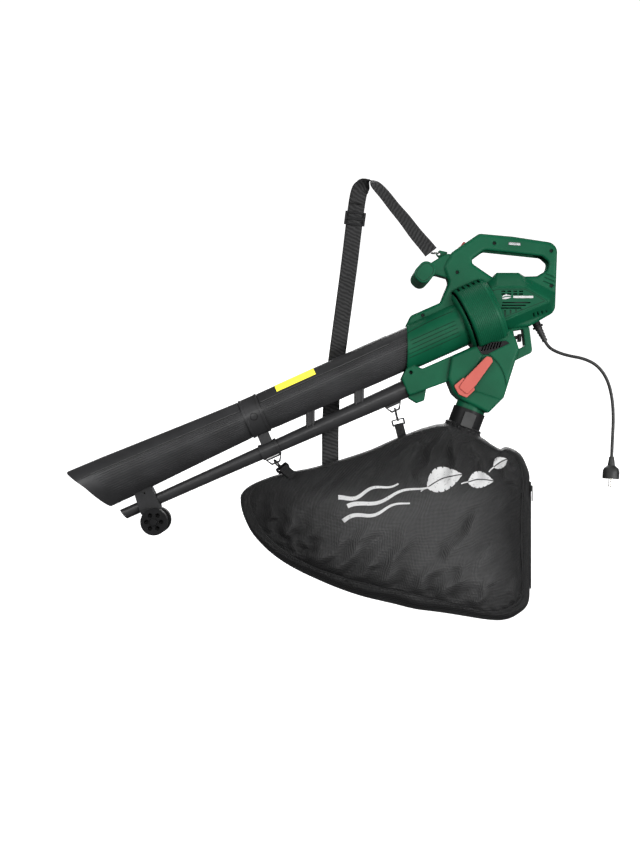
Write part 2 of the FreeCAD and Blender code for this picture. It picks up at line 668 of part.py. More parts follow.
def motor():
    """Motor, fan and their bearings on the tube axis; the shaft carries the impeller."""
    axis_w = -s("tube_drop")
    back = at_machine(1, 0)

    def ring(name, inner, outer, front, rear):
        return turned(name, [(front, inner), (front, outer), (rear, outer), (rear, inner)],
                      on_tube())

    shaft = s("shaft_r")
    node(rod("shaft", "Sizes.shaft_r", 146, at_machine(-150, axis_w), back), "motor_shaft")
    disc = ring("impeller_disc", shaft, s("impeller_r"), -122, -119)
    hub = ring("impeller_hub", shaft, 14, -140, -119)
    blades = [block(f"blade{n}", (38, 2.4, 50), at_machine(-141, axis_w),
                    Rotation(ACROSS, -s("tilt")).multiply(Rotation(Vector(1, 0, 0), 45 * n)))
              for n in range(8)]
    for n, blade in enumerate(blades):
        lift = Placement(Vector(0, 0, 0), Rotation(Vector(1, 0, 0), 45 * n))
        blade.Placement = on_tube(-141).multiply(lift).multiply(
            Placement(Vector(-19, -1.2, 13), Rotation()))
    node(fuse("impeller_all", [disc, hub] + blades), "impeller")
    node(ring("nut", shaft, 8.5, -148, -140.5), "impeller_nut")
    plate_disc = ring("bulkhead_disc", 13, 46.8, -107, -101)
    boss = ring("bulkhead_boss", 13, 18, -114, -98)
    node(fuse("bulkhead_all", [plate_disc, boss]), "fan_bulkhead")
    running = shaft + s("fit")
    bearings = [ring("front_bearing", running, 13, -112, -102),
                ring("rear_bearing", running, 11, -14, -6)]
    node(fuse("bearings_all", bearings), "motor_bearings")
    node(ring("rear_bracket", 11, 32, -16, -4), "rear_bearing_bracket")
    fan_disc = ring("cooling_disc", shaft, 38, -93, -91)
    fan_hub = ring("cooling_hub", shaft, 9, -95, -87)
    fins = []
    for n in range(9):
        fin = block(f"fin{n}", (4, 1.6, 29), Vector(0, 0, 0))
        lift = Placement(Vector(0, 0, 0), Rotation(Vector(1, 0, 0), 40 * n))
        fin.Placement = on_tube(-91).multiply(lift).multiply(
            Placement(Vector(-0.5, -0.8, 8), Rotation()))
        fins.append(fin)
    node(fuse("cooling_fan_all", [fan_disc, fan_hub] + fins), "motor_cooling_fan")
    node(ring("stator", 26.5, s("motor_r"), -84, -40), "stator")
    core = ring("armature_core", shaft, 25.3, -80, -44)
    coils = ring("armature_coils", shaft, 20, -85, -38)
    node(fuse("armature_all", [core, coils]), "armature")
    node(ring("commutator", shaft, 13, -35, -19), "commutator")
    holders = [block(f"brush{side}", (10, 18, 8), at_machine(-27, axis_w, side * 22.4),
                     Rotation(ACROSS, -s("tilt"))) for side in (-1, 1)]
    node(fuse("brushes_all", holders), "brush_holders")


def selector():
    """Blow or vacuum lever on its shaft, with the changeover flap inside."""
    face = -s("body_t") / 2
    start = Vector(PIVOT_X, face - 5.4, PIVOT_Z)
    node(rod("selector_rod", 6, 80, start, ACROSS), "selector_shaft")
    boss = [(-20, 2, 2), (-12, 22, 3), (14, 18, 3), (20, -4, 2), (10, -19, 3), (-14, -16, 3)]
    arm = [(-9, -12, 5), (20, -14, 9), (84, -9, 5), (89, 0, 6), (84, 9, 5), (20, 14, 9),
           (-9, 12, 5)]
    tilt_up = Rotation(ACROSS, -50)
    place = Placement(Vector(PIVOT_X, face - 3.2, PIVOT_Z), tilt_up)
    low = plate("lever_boss", [boss], 5.6, place)
    high = softened(plate("lever_arm", [arm], "Sizes.lever_t",
                          Placement(Vector(PIVOT_X, face - 4.4, PIVOT_Z), tilt_up)), 1.6)
    hole = rod("lever_bore", 6, 20, start, ACROSS)
    node(cut("lever_cut", fuse("lever_all", [low, high]), [hole]), "selector_lever")
    blade = block("flap_blade", (52, 66, 3), Vector(0, 0, 0))
    blade.Placement = Placement(Vector(PIVOT_X, 0, PIVOT_Z), Rotation(ACROSS, -108)).multiply(
        Placement(Vector(6, -33, -1.5), Rotation()))
    hub = cross_rod("flap_hub", 9, 66, PIVOT_X, PIVOT_Z)
    bore = cross_rod("flap_bore", 6, 90, PIVOT_X, PIVOT_Z)
    node(cut("flap_cut", fuse("flap_all", [blade, hub]), [bore]), "changeover_flap")


def power_switch():
    """Rocker in the front slope of the handle and the switch body under it."""
    slope = Rotation(ACROSS, -34)
    place = Placement(Vector(-113, 0, -6), slope)
    outline = [(-11, -3, 2), (-11, 7, 3), (0, 8.2, 12), (11, 13, 3), (11, -3, 2)]
    rocker = plate("rocker_solid", [outline], 12, place)
    pin = cross_rod("rocker_pin", 1.6, 14, -113, -6)
    hole = cross_rod("rocker_bore", 1.65, 30, -113, -6)
    node(cut("rocker_cut", rocker, [hole]), "switch_rocker")
    cheeks = [block(f"cheek{side}", (10, 1.0, 18), place.multVec(Vector(0, side * 7.0, -6)),
                    slope) for side in (-1, 1)]
    base = block("switch_base", (24, 15, 18), place.multVec(Vector(0, 0, -18)), slope)
    node(fuse("switch_all", [base, pin] + cheeks), "switch_body")


def front_handle():
    """Oval grip bar across the front, with an end cap on each side."""
    halves = []
    caps = []
    turn = Rotation(ACROSS, -48)
    for side in (-1, 1):
        y = side * (s("grip_length") / 4 + 7.5)
        halves.append(plate(f"grip{side}", [GRIP], "Sizes.grip_length/2 - 15",
                            Placement(Vector(-203, y, -66), turn)))
        cap_y = side * (s("grip_length") / 2 + 2.5)
        caps.append(softened(plate(f"grip_cap{side}", [GRIP], 5,
                                   Placement(Vector(-203, cap_y, -66), turn)), 1.5))
    node(fuse("grips_all", halves), "front_grips")
    node(fuse("caps_all", caps), "front_grip_caps")


def cable_parts():
    """Stowage hook for the cable and the gland that the cord leaves through."""
    post = block("hook_post", (12, 12, 8), Vector(6.58, 0, -206), Rotation(ACROSS, -9.66))
    head = block("hook_head", (6, 20, 17), Vector(14, 0, -207))
    node(fuse("cable_hook_all", [post, head]), "cable_hook")
    start = Vector(45, 0, -160)
    gland = rod("gland_body", 9.0, 24, start, GLAND_DOWN)
    flange = rod("gland_flange", 12, 5, start + GLAND_DOWN * 22, GLAND_DOWN)
    node(fuse("gland_all", [gland, flange]), "cable_gland")


def on_outlet(distance, x=0.0, y=0.0):
    """Placement with its Z axis down the bag outlet; local X lies in the middle plane."""
    place = Placement(outlet(distance), Rotation(UP, OUTLET_DOWN))
    return place.multiply(Placement(Vector(x, y, 0), Rotation()))


def outlet_block(name, sizes, x, y, distance):
    """Box squared to the bag outlet axis, centred at a distance down it."""
    place = on_outlet(distance, x, y)
    return block(name, sizes, place.Base, place.Rotation)


def bag_connector():
    """Socket over the bag spigot with a sprung press latch on its near side."""
    outer = rod("connector_outer", "Sizes.connector_r", 78, outlet(0), OUTLET_DOWN)
    seat = rod("connector_seat", "Sizes.spigot_r", 36, outlet(-1), OUTLET_DOWN)
    throat = rod("connector_throat", "Sizes.spigot_r - Sizes.wall", 80, outlet(-1), OUTLET_DOWN)
    shell = cut("connector_shell", outer, [seat, throat])
    lugs = [outlet_block(f"latch_lug{side}", (3, 13, 9), side * 10.3, -40, 20)
            for side in (-1, 1)]
    inside = rod("lug_trim", "Sizes.connector_r - 1", 80, outlet(-1), OUTLET_DOWN)
    trimmed = cut("lugs_cut", fuse("lugs", lugs), [inside])
    pin_at = on_outlet(20, -12.5, -44)
    sideways = pin_at.Rotation.multVec(Vector(1, 0, 0))
    pin_hole = rod("latch_pin_hole", 1.5, 25, pin_at.Base, sideways)
    node(cut("connector_cut", fuse("connector_all", [shell, trimmed]), [pin_hole]),
         "bag_connector")
    node(rod("latch_pin_rod", 1.5, 25, pin_at.Base, sideways), "latch_pin")
    key = outlet_block("latch_key", (16, 3, 31), 0, -44, 22)
    pad = outlet_block("latch_pad", (26, 2.2, 32), 0, -48.6, 24)
    bridge = outlet_block("latch_bridge", (12, 3, 22), 0, -46.5, 26)
    knuckle_at = on_outlet(20, -8, -44).Base
    knuckle = rod("latch_knuckle", 3.0, 16, knuckle_at, sideways)
    clear = rod("latch_bore", "1.5 + Sizes.fit", 25, pin_at.Base, sideways)
    node(cut("latch_cut", fuse("latch_all", [key, bridge, pad, knuckle]), [clear]), "bag_latch")
    turns = Part.makeHelix(1.5, 4.6, 2.8)
    start = Part.Wire(Part.makeCircle(0.4, Vector(2.8, 0, 0), Vector(0, 1, 0)))
    coil = DOC.addObject("Part::Feature", "latch_coil")
    coil.Shape = Part.Wire(turns.Edges).makePipeShell([start], True, True)
    facing = on_outlet(30, 0, -37.1)
    coil.Placement = Placement(facing.Base, Rotation(UP, Vector(0, -1, 0)))
    node(coil, "latch_spring")


BAG_STATIONS = [(-614, -549, -594, 18), (-578, -529, -661, 48), (-524, -513, -711, 70),
                (-443, -495, -749, 88), (-335, -463, -790, 97), (-254, -430, -810, 100),
                (-173, -402, -823, 100), (-65, -434, -841, 92), (-5, -455, -838, 78),
                (38, -500, -800, 40)]


def bag_solid(name, inset):
    """Smooth loft through upright oval sections (x, top, bottom, half width)."""
    sections = []
    last = len(BAG_STATIONS) - 1
    for index, (x, top, bottom, half_y) in enumerate(BAG_STATIONS):
        shift = inset if index == 0 else -inset if index == last else 0
        sketch = DOC.addObject("Sketcher::SketchObject", f"{name}_section{index}")
        middle = (top + bottom) / 2
        sketch.Placement = Placement(Vector(x + shift, 0, middle),
                                     Rotation(Vector(1, 1, 1), 120))
        tall, wide = (top - bottom) / 2 - inset, half_y - inset
        corner_points = Vector(0, tall, 0), Vector(wide, 0, 0)
        if wide > tall:
            corner_points = corner_points[1], corner_points[0]
        sketch.addGeometry(Part.Ellipse(*corner_points, Vector(0, 0, 0)), False)
        sections.append(sketch)
    loft = DOC.addObject("Part::Loft", name)
    loft.Sections = sections
    loft.Solid = True
    return loft


def bag():
    """Catch bag with its gathered neck round the connector, and the zip at its back."""
    neck = rod("bag_neck", "Sizes.connector_r + 2.4", 44, outlet(36), OUTLET_DOWN)
    neck_space = rod("bag_neck_space", "Sizes.connector_r", 60, outlet(30), OUTLET_DOWN)
    outside = fuse("bag_outside", [bag_solid("bag_outer", 0.0), neck])
    inside = [bag_solid("bag_inner", s("bag_wall")), neck_space]
    node(cut("bag_cut", outside, inside), "catch_bag")
    node(block("zip_strip", (1.4, 16, 240), Vector(38.7, 0, -650)), "bag_zip")
    slider = block("zip_puller", (4, 8, 13), Vector(41.9, 0, -545))
    pull = block("zip_tab", (1.4, 6, 26), Vector(43.2, 0, -562))
    node(fuse("zip_slider_all", [slider, pull]), "zip_slider")


def strap_section(index, centre, direction, width_way):
    """Rectangle across the webbing at one place along the strap."""
    along = Vector(*direction).normalize()
    wide = Vector(*width_way)
    wide = (wide - along * wide.dot(along)).normalize()
    sketch = DOC.addObject("Sketcher::SketchObject", f"strap_section{index}")
    sketch.Placement = Placement(Vector(*centre), Rotation(wide, along.cross(wide), along))
    half_w, half_t = s("strap_w") / 2, s("strap_t") / 2
    draw(sketch, [(-half_w, -half_t), (half_w, -half_t), (half_w, half_t), (-half_w, half_t)])
    return sketch


STRAP = [((-411, 22, -506), (0, 0, 1), (1, 0, 0)),
         ((-411, 22, -420), (0.0, 0.1, 1), (1, 0, 0)),
         ((-409, 30, -366), (0.0, 0.3, 1), (1, 0, 0)),
         ((-406, 49, -326), (0.05, 0.15, 1), (1, 0, -0.05)),
         ((-350, 8.5, 104), (0.13, -0.09, 1), (1, 0, -0.13)),
         ((-338, 4, 136), (0.6, -0.1, 0.8), (0.8, 0.5, -0.4)),
         ((-322, 0, 150), (1, 0, 0), (0, 1, 0.15)),
         ((-307, 0, 136), (0.64, 0, -0.77), (0.54, 0.71, 0.45)),
         ((-184, 0, -14), (0.64, 0, -0.77), (0.71, 0.39, 0.59))]


def strap():
    """Shoulder strap: up from the bag behind the tubes, over, and down to the housing."""
    sections = [strap_section(n, *station) for n, station in enumerate(STRAP)]
    band = DOC.addObject("Part::Loft", "strap_band")
    band.Sections = sections
    band.Solid = True
    band.Ruled = True
    ring_at = Placement(Vector(-175.5, 0, -16), Rotation(Vector(1, 0, 0), 0))
    ring = DOC.addObject("Part::Torus", "clip_ring")
    clearance = DOC.addObject("Part::Torus", "clip_clearance")
    for torus, thick in ((ring, 1.4), (clearance, 1.9)):
        torus.Radius1 = 8.5
        torus.Radius2 = thick
        torus.Placement = ring_at
    node(ring, "strap_clip")
    node(cut("strap_cut", band, [clearance, bag_solid("strap_bag", 0.0)]), "shoulder_strap")
    low, high = Vector(-406, 49, -326), Vector(-350, 8.5, 104)
    run = (high - low).normalize()
    wide = Vector(1, 0, -0.13)
    wide = (wide - run * wide.dot(run)).normalize()
    turn = Rotation(wide, run.cross(wide), run)
    centre = low + run * ((64 - low.z) / run.z)
    frame = block("buckle_frame", (47, 7, 30), centre, turn)
    slot = block("buckle_slot", (39.4, 3.2, 50), centre, turn)
    windows = [block(f"buckle_window{side}", (37, 6, 8), turn.multVec(Vector(0, -3.5, side * 7))
                     + centre, turn) for side in (-1, 1)]
    node(cut("buckle_cut", frame, [slot] + windows), "strap_buckle")


CORD = [(72.3, 0, -214.5), (78.4, -0.5, -226.6), (97, -2, -238.5), (125, -4, -247.5),
        (157, -5, -253), (189, -3, -268), (213, 2, -299), (225, 6, -342), (228, 7, -388),
        (225, 5, -434), (223, 4, -474)]


def rounded_path(points):
    """Straight runs joined by tangent arcs, each as large as its two runs allow."""
    nodes = [Vector(*point) for point in points]
    edges = []
    radii = []
    here = nodes[0]
    for before, corner, after in zip(nodes, nodes[1:], nodes[2:]):
        back, ahead = before - corner, after - corner
        shorter = min(back.Length, ahead.Length)
        back.normalize()
        ahead.normalize()
        half_turn = (math.pi - back.getAngle(ahead)) / 2
        reach = 0.45 * shorter
        radius = reach / math.tan(half_turn)
        start, stop = corner + back * reach, corner + ahead * reach
        bisector = (back + ahead).normalize()
        middle = corner + bisector * (radius / math.cos(half_turn) - radius)
        edges += [Part.LineSegment(here, start).toShape(), Part.Arc(start, middle, stop).toShape()]
        radii.append(round(radius))
        here = stop
    edges.append(Part.LineSegment(here, nodes[-1]).toShape())
    return Part.Wire(edges), radii


def cord():
    """Bend relief at the gland, the mains cord and the moulded plug on its end."""
    relief = [(0, 0), (0, 8.2), (5, 8.2), (5, 6.9), (8, 6.9), (8, 7.8), (12, 7.5), (12, 6.4),
              (15, 6.4), (15, 7.1), (19, 6.8), (19, 5.8), (22, 5.8), (22, 6.4), (26, 6.1),
              (26, 5.3), (29, 5.3), (29, 6.3), (34, 6.0), (34, 0)]
    start = Vector(45, 0, -160) + GLAND_DOWN * 27
    node(turned("relief", relief, Placement(start, Rotation(Vector(1, 0, 0), GLAND_DOWN))),
         "bend_relief")
    path, radii = rounded_path(CORD)
    print("cord", round(path.Length), "mm, bend radii", radii)
    first = Vector(*CORD[1]) - Vector(*CORD[0])
    section = Part.Wire(Part.makeCircle(s("cord_r"), Vector(*CORD[0]), first))
    tube = DOC.addObject("Part::Feature", "cord_tube")
    tube.Shape = path.makePipeShell([section], True, False)
    swept = math.pi * s("cord_r") ** 2 * path.Length
    print("cord volume against section times length", round(tube.Shape.Volume / swept, 4))
    node(tube, "mains_cord")
    end = Vector(*CORD[-1])
    way = (end - Vector(*CORD[-2])).normalize()
    body = [(0, 0), (0, 5.4), (20, 8.5), (26, 16, 4), (33, 18.5, 2), (50, 18.5, 1.5), (50, 0)]
    place = Placement(end, Rotation(Vector(1, 0, 0), way))
    node(turned("plug", body, place), "plug_body")
    pins = [rod(f"pin{side}", 2.4, 19, place.multVec(Vector(50, side * 9.5, 0)), way)
            for side in (-1, 1)]
    node(fuse("pins_all", pins), "plug_pins")


def check_and_write():
    """Stop on any failed object, then write one file for each node."""
    DOC.recompute()
    for thing in DOC.Objects:
        if "Invalid" in thing.State or "Error" in thing.State:
            raise RuntimeError(f"{thing.Name} failed: {thing.State}")
    for thing in NODES:
        if thing.Shape.isNull() or not thing.Shape.isValid():
            raise RuntimeError(f"{thing.Label} has no valid shape")
        solids = len(thing.Shape.Solids)
        print(f"{thing.Label}: {solids} solid, {thing.Shape.Volume / 1000:.1f} cm3")
    os.makedirs("parts", exist_ok=True)
    for thing in NODES:
        thing.Shape.exportStep(f"parts/{thing.Label}.step")


def main():
    fill_sheet()
    suction_tubes()
    blow_pipes()
    collars()
    spacers()
    front_bracket()
    wheels()
    eyelets()
    tube_label()
    housing()
    side_panels()
    motor()
    selector()
    power_switch()
    front_handle()
    cable_parts()
    bag_connector()
    bag()
    snap_hooks()
    strap()
    cord()
    check_and_write()


main()
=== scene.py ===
"""Electric leaf blower and vacuum with its catch bag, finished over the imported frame."""
import json
import math

import bmesh
import bpy
from mathutils import Matrix, Vector, noise


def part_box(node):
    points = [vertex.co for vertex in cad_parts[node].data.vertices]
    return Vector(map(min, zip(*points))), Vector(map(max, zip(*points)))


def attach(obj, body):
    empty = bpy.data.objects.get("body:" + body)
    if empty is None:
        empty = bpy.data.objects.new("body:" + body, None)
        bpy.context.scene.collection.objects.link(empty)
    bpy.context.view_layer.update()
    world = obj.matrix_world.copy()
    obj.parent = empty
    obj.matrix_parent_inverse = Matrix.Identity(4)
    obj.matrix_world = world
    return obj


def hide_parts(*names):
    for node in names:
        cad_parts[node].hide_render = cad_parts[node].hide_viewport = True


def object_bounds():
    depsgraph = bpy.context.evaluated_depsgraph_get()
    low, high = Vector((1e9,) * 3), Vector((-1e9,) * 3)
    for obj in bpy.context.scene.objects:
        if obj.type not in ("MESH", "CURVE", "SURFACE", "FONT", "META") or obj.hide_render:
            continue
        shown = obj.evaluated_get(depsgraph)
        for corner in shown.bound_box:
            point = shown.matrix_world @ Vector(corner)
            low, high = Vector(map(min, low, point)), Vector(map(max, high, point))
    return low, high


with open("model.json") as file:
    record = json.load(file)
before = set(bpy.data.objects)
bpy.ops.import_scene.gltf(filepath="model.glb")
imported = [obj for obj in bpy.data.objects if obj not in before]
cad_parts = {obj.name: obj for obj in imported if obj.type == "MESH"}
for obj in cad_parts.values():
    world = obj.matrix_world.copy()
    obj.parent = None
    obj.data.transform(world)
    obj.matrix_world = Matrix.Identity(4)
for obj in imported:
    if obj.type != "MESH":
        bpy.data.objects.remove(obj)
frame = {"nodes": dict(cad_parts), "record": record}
NODES = frame["nodes"]
CAD_SIZE = [list(corner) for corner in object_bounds()]
# Tilt of the tubes, and the place of the suction tubes' axis square to them
TILT = math.radians(24)
TUBE_W = -0.113


def machine(u, w):
    """Point of the middle plane in the tilted axes of the tubes: u along them, w square to them."""
    return Vector((u * math.cos(TILT) - w * math.sin(TILT), 0,
                   u * math.sin(TILT) + w * math.cos(TILT)))


# Camera, floor and light

CAMERA_PLACE = (-0.43425, -2.5, -0.40725)
SENSOR_HEIGHT_MM = 36
FOCAL_LENGTH_MM = 46.84
FLOOR_GAP = 0.012


def camera():
    """Level camera in front of the near side, with its viewing angle set by the height."""
    data = bpy.data.cameras.new("camera")
    data.sensor_fit = "VERTICAL"
    data.sensor_height = SENSOR_HEIGHT_MM
    data.lens = FOCAL_LENGTH_MM
    holder = bpy.data.objects.new("camera", data)
    holder.location = CAMERA_PLACE
    holder.rotation_euler = (math.radians(90), 0, 0)
    bpy.context.scene.collection.objects.link(holder)
    bpy.context.scene.camera = holder


def softbox(name, place, target, size, power):
    """Rectangular lamp aimed at a target; sizes in metres, power in watts."""
    data = bpy.data.lights.new(name, "AREA")
    data.shape = "RECTANGLE"
    data.size, data.size_y = size
    data.energy = power
    lamp = bpy.data.objects.new(name, data)
    lamp.location = place
    aim = Vector(target) - Vector(place)
    lamp.rotation_euler = aim.to_track_quat("-Z", "Y").to_euler()
    bpy.context.scene.collection.objects.link(lamp)


def studio():
    """White floor that curves up into a backdrop, and soft lamps all round the tool."""
    low = CAD_SIZE[0][2] - FLOOR_GAP
    depth = [(-6.0, 0.0), (2.2, 0.0), (2.9, 0.12), (3.4, 0.45), (3.7, 1.0), (3.8, 5.0)]
    corners = [(x, y, low + z) for y, z in depth for x in (-9.0, 9.0)]
    faces = [(2 * n, 2 * n + 1, 2 * n + 3, 2 * n + 2) for n in range(len(depth) - 1)]
    mesh = bpy.data.meshes.new("floor")
    mesh.from_pydata(corners, [], faces)
    mesh.shade_smooth()
    floor = bpy.data.objects.new("floor", mesh)
    bpy.context.scene.collection.objects.link(floor)
    paint, _, shader = new_material("floor_paint")
    shader.inputs["Base Color"].default_value = (0.92, 0.92, 0.92, 1)
    shader.inputs["Roughness"].default_value = 0.9
    shader.inputs["Emission Color"].default_value = (1, 1, 1, 1)
    shader.inputs["Emission Strength"].default_value = 0.80
    mesh.materials.append(paint)
    # The floor is only seen: it throws no white onto the tool
    floor.visible_diffuse = False
    floor.visible_glossy = False
    world = bpy.data.worlds.new("studio")
    world.use_nodes = True
    background = world.node_tree.nodes["Background"]
    background.inputs["Color"].default_value = (1, 1, 1, 1)
    background.inputs["Strength"].default_value = 0.09
    bpy.context.scene.world = world
    middle = (-0.35, 0, -0.35)
    softbox("front_light", (-0.7, -3.5, 0.6), middle, (1.4, 1.0), 37)
    softbox("low_light", (1.3, -2.5, -0.60), middle, (1.0, 0.4), 40)
    softbox("left_light", (-2.5, -2.0, 0.9), middle, (1.0, 1.6), 34)
    softbox("top_light", (-0.2, 0.2, 2.6), middle, (2.4, 1.0), 22)
    softbox("right_light", (2.3, -1.4, -0.1), middle, (0.8, 1.2), 30)
    softbox("back_light", (0.4, 3.0, 1.4), middle, (2.6, 1.8), 70)
    bpy.context.scene.view_settings.view_transform = "Standard"


# Material building blocks

def new_material(name):
    """Material, its node tree and its shader."""
    material = bpy.data.materials.new(name)
    material.use_nodes = True
    return material, material.node_tree, material.node_tree.nodes["Principled BSDF"]


def add(tree, kind, values=None, **settings):
    """New node; values are numbers or output sockets by input name or place."""
    made = tree.nodes.new(kind)
    for word, setting in settings.items():
        setattr(made, word, setting)
    for where, value in (values or {}).items():
        socket = made.inputs[where]
        if isinstance(value, bpy.types.NodeSocket):
            tree.links.new(value, socket)
        else:
            socket.default_value = value
    return made


def places(tree):
    """Coordinates in metres that stay with the object."""
    return add(tree, "ShaderNodeTexCoord").outputs["Object"]


def speckle(tree, scale, detail, where=None, roughness=0.5):
    """Cloudy noise between 0 and 1."""
    values = {"Vector": where or places(tree), "Scale": scale, "Detail": detail,
              "Roughness": roughness}
    return add(tree, "ShaderNodeTexNoise", values).outputs["Fac"]


def sums(tree, kind, first, second=0.0, third=0.0):
    """Result of one arithmetic node."""
    made = add(tree, "ShaderNodeMath", {0: first, 1: second, 2: third}, operation=kind)
    return made.outputs[0]


def ramp(tree, value, low, high, to_low=0.0, to_high=1.0):
    """Value mapped from one range to another, clamped at both ends."""
    values = {"Value": value, "From Min": low, "From Max": high, "To Min": to_low,
              "To Max": to_high}
    return add(tree, "ShaderNodeMapRange", values).outputs[0]


def blended(tree, factor, first, second):
    """Colour between two colours."""
    made = add(tree, "ShaderNodeMix", data_type="RGBA")
    for place, value in ((0, factor), (6, first), (7, second)):
        if isinstance(value, bpy.types.NodeSocket):
            tree.links.new(value, made.inputs[place])
        else:
            made.inputs[place].default_value = value
    return made.outputs[2]


def raised(tree, shader, height, strength, distance, below=None):
    """Fine relief on the shader, over another normal if there is one."""
    values = {"Height": height, "Strength": strength, "Distance": distance}
    if below:
        values["Normal"] = below
    bump = add(tree, "ShaderNodeBump", values)
    tree.links.new(bump.outputs["Normal"], shader.inputs["Normal"])


# Finishes, one for each material slot of the record

def plastic(name, colour, second, dark, roughness, grain, gloss=0.2, edge_radius=0.0008):
    """Moulded plastic: cloudy tone, painted shade in the corners, softened edges, spark-eroded
    grain.
    """
    material, tree, shader = new_material(name)
    where = places(tree)
    cloud = speckle(tree, 16, 4, where)
    tone = blended(tree, ramp(tree, cloud, 0.35, 0.65), colour, second)
    # Painted shade: an occlusion node pulls the colour towards the dark one in corners and creases
    corner = add(tree, "ShaderNodeAmbientOcclusion", {"Distance": 0.009}, samples=5).outputs["AO"]
    full = blended(tree, ramp(tree, corner, 0.35, 0.9, 0.75, 0.0), tone, dark)
    tree.links.new(full, shader.inputs["Base Color"])
    smear = speckle(tree, 42, 5, where, 0.6)
    tree.links.new(ramp(tree, smear, 0.3, 0.7, roughness - 0.05, roughness + 0.07),
                   shader.inputs["Roughness"])
    shader.inputs["Specular IOR Level"].default_value = gloss
    edge = add(tree, "ShaderNodeBevel", {"Radius": edge_radius}, samples=6).outputs["Normal"]
    raised(tree, shader, speckle(tree, grain, 2, where), 0.18, 0.0003, edge)
    return material


def metal(name, colour, second, roughness, grain=900):
    """Bare or plated metal with fine scratches and a slightly uneven polish."""
    material, tree, shader = new_material(name)
    where = places(tree)
    tone = blended(tree, ramp(tree, speckle(tree, 90, 4, where), 0.35, 0.65), colour, second)
    tree.links.new(tone, shader.inputs["Base Color"])
    shader.inputs["Metallic"].default_value = 1.0
    smear = speckle(tree, grain, 3, where, 0.7)
    tree.links.new(ramp(tree, smear, 0.3, 0.7, roughness - 0.08, roughness + 0.12),
                   shader.inputs["Roughness"])
    edge = add(tree, "ShaderNodeBevel", {"Radius": 0.0004}, samples=3).outputs["Normal"]
    raised(tree, shader, smear, 0.12, 0.0002, edge)
    return material


def label_paper():
    """Yellow sticker, slightly faded and scuffed, pale at its front end, with a painted glow that
    keeps it bright.
    """
    material, tree, shader = new_material("label_yellow")
    where = places(tree)
    tone = blended(tree, ramp(tree, speckle(tree, 60, 4, where), 0.4, 0.7),
                   (0.95, 0.84, 0.06, 1), (0.90, 0.76, 0.08, 1))
    split = add(tree, "ShaderNodeSeparateXYZ", {0: where})
    pale = ramp(tree, split.outputs["X"], -0.562, -0.558, 1.0, 0.0)
    full = blended(tree, pale, tone, (0.82, 0.76, 0.66, 1))
    tree.links.new(full, shader.inputs["Base Color"])
    # Painted light: the sticker glows with its own colour, though it is no lamp
    tree.links.new(full, shader.inputs["Emission Color"])
    shader.inputs["Emission Strength"].default_value = 0.80
    tree.links.new(ramp(tree, speckle(tree, 240, 5, where), 0.3, 0.7, 0.28, 0.45),
                   shader.inputs["Roughness"])
    raised(tree, shader, speckle(tree, 320, 4, where), 0.12, 0.0003)
    return material


# Repeats of the woven patterns, in metres
NYLON_PERIOD = 0.0058
PRINT_YARN_PERIOD = 0.0042
TWILL_PERIOD = 0.0084
STRAP_CORD_PITCH = 0.0022


def weave_height(tree, where, period):
    """Raised yarns that cross on the two diagonals; holds on faces of any direction."""
    split = add(tree, "ShaderNodeSeparateXYZ", {0: where})
    across, depth, up = split.outputs
    turn = 2 * math.pi / period
    flat = sums(tree, "ADD", across, depth)
    warp = sums(tree, "SINE", sums(tree, "MULTIPLY", sums(tree, "ADD", flat, up), turn))
    weft = sums(tree, "SINE", sums(tree, "MULTIPLY", sums(tree, "SUBTRACT", across, up), turn))
    return sums(tree, "MULTIPLY", warp, weft)


def nylon():
    """Black oxford nylon: raised glossy yarns, dusty, with a painted sheen: paler where it bulges
    low down, darker near the top and edges.
    """
    material, tree, shader = new_material("bag_nylon")
    where = places(tree)
    bend = add(tree, "ShaderNodeTexNoise", {"Vector": where, "Scale": 9.0, "Detail": 2.0})
    shift = add(tree, "ShaderNodeVectorMath", {0: bend.outputs["Color"], "Scale": 0.004},
                operation="SCALE").outputs[0]
    warped = add(tree, "ShaderNodeVectorMath", {0: where, 1: shift}, operation="ADD").outputs[0]
    yarn = weave_height(tree, warped, NYLON_PERIOD)
    thread = speckle(tree, 1400, 2, where)
    cloud = speckle(tree, 7, 4, where)
    tone = blended(tree, ramp(tree, yarn, -0.8, 0.8), (0.003, 0.003, 0.0031, 1),
                   (0.013, 0.013, 0.0135, 1))
    dusty = blended(tree, ramp(tree, cloud, 0.35, 0.75, 0.0, 0.35), tone, (0.012, 0.012, 0.0125, 1))
    split = add(tree, "ShaderNodeSeparateXYZ", {0: where})
    # Painted sheen: paler where a panel bulges, which is where |Y| is large, but not near the bag's
    # top, which stays dark as painted shade
    bulge = ramp(tree, sums(tree, "ABSOLUTE", split.outputs[1]), 0.050, 0.090)
    lower = ramp(tree, split.outputs[2], -0.47, -0.57)
    painted_sheen_mask = sums(tree, "MULTIPLY", bulge, lower)
    pale = blended(tree, ramp(tree, yarn, -0.8, 0.8), (0.014, 0.014, 0.014, 1),
                   (0.110, 0.110, 0.111, 1))
    tree.links.new(blended(tree, painted_sheen_mask, dusty, pale), shader.inputs["Base Color"])
    tree.links.new(ramp(tree, yarn, -1, 1, 0.52, 0.36), shader.inputs["Roughness"])
    shader.inputs["Sheen Weight"].default_value = 0.04
    shader.inputs["Sheen Roughness"].default_value = 0.45
    shader.inputs["Sheen Tint"].default_value = (0.8, 0.8, 0.85, 1)
    height = sums(tree, "ADD", yarn, sums(tree, "MULTIPLY", thread, 0.5))
    raised(tree, shader, height, 0.9, 0.0008)
    return material


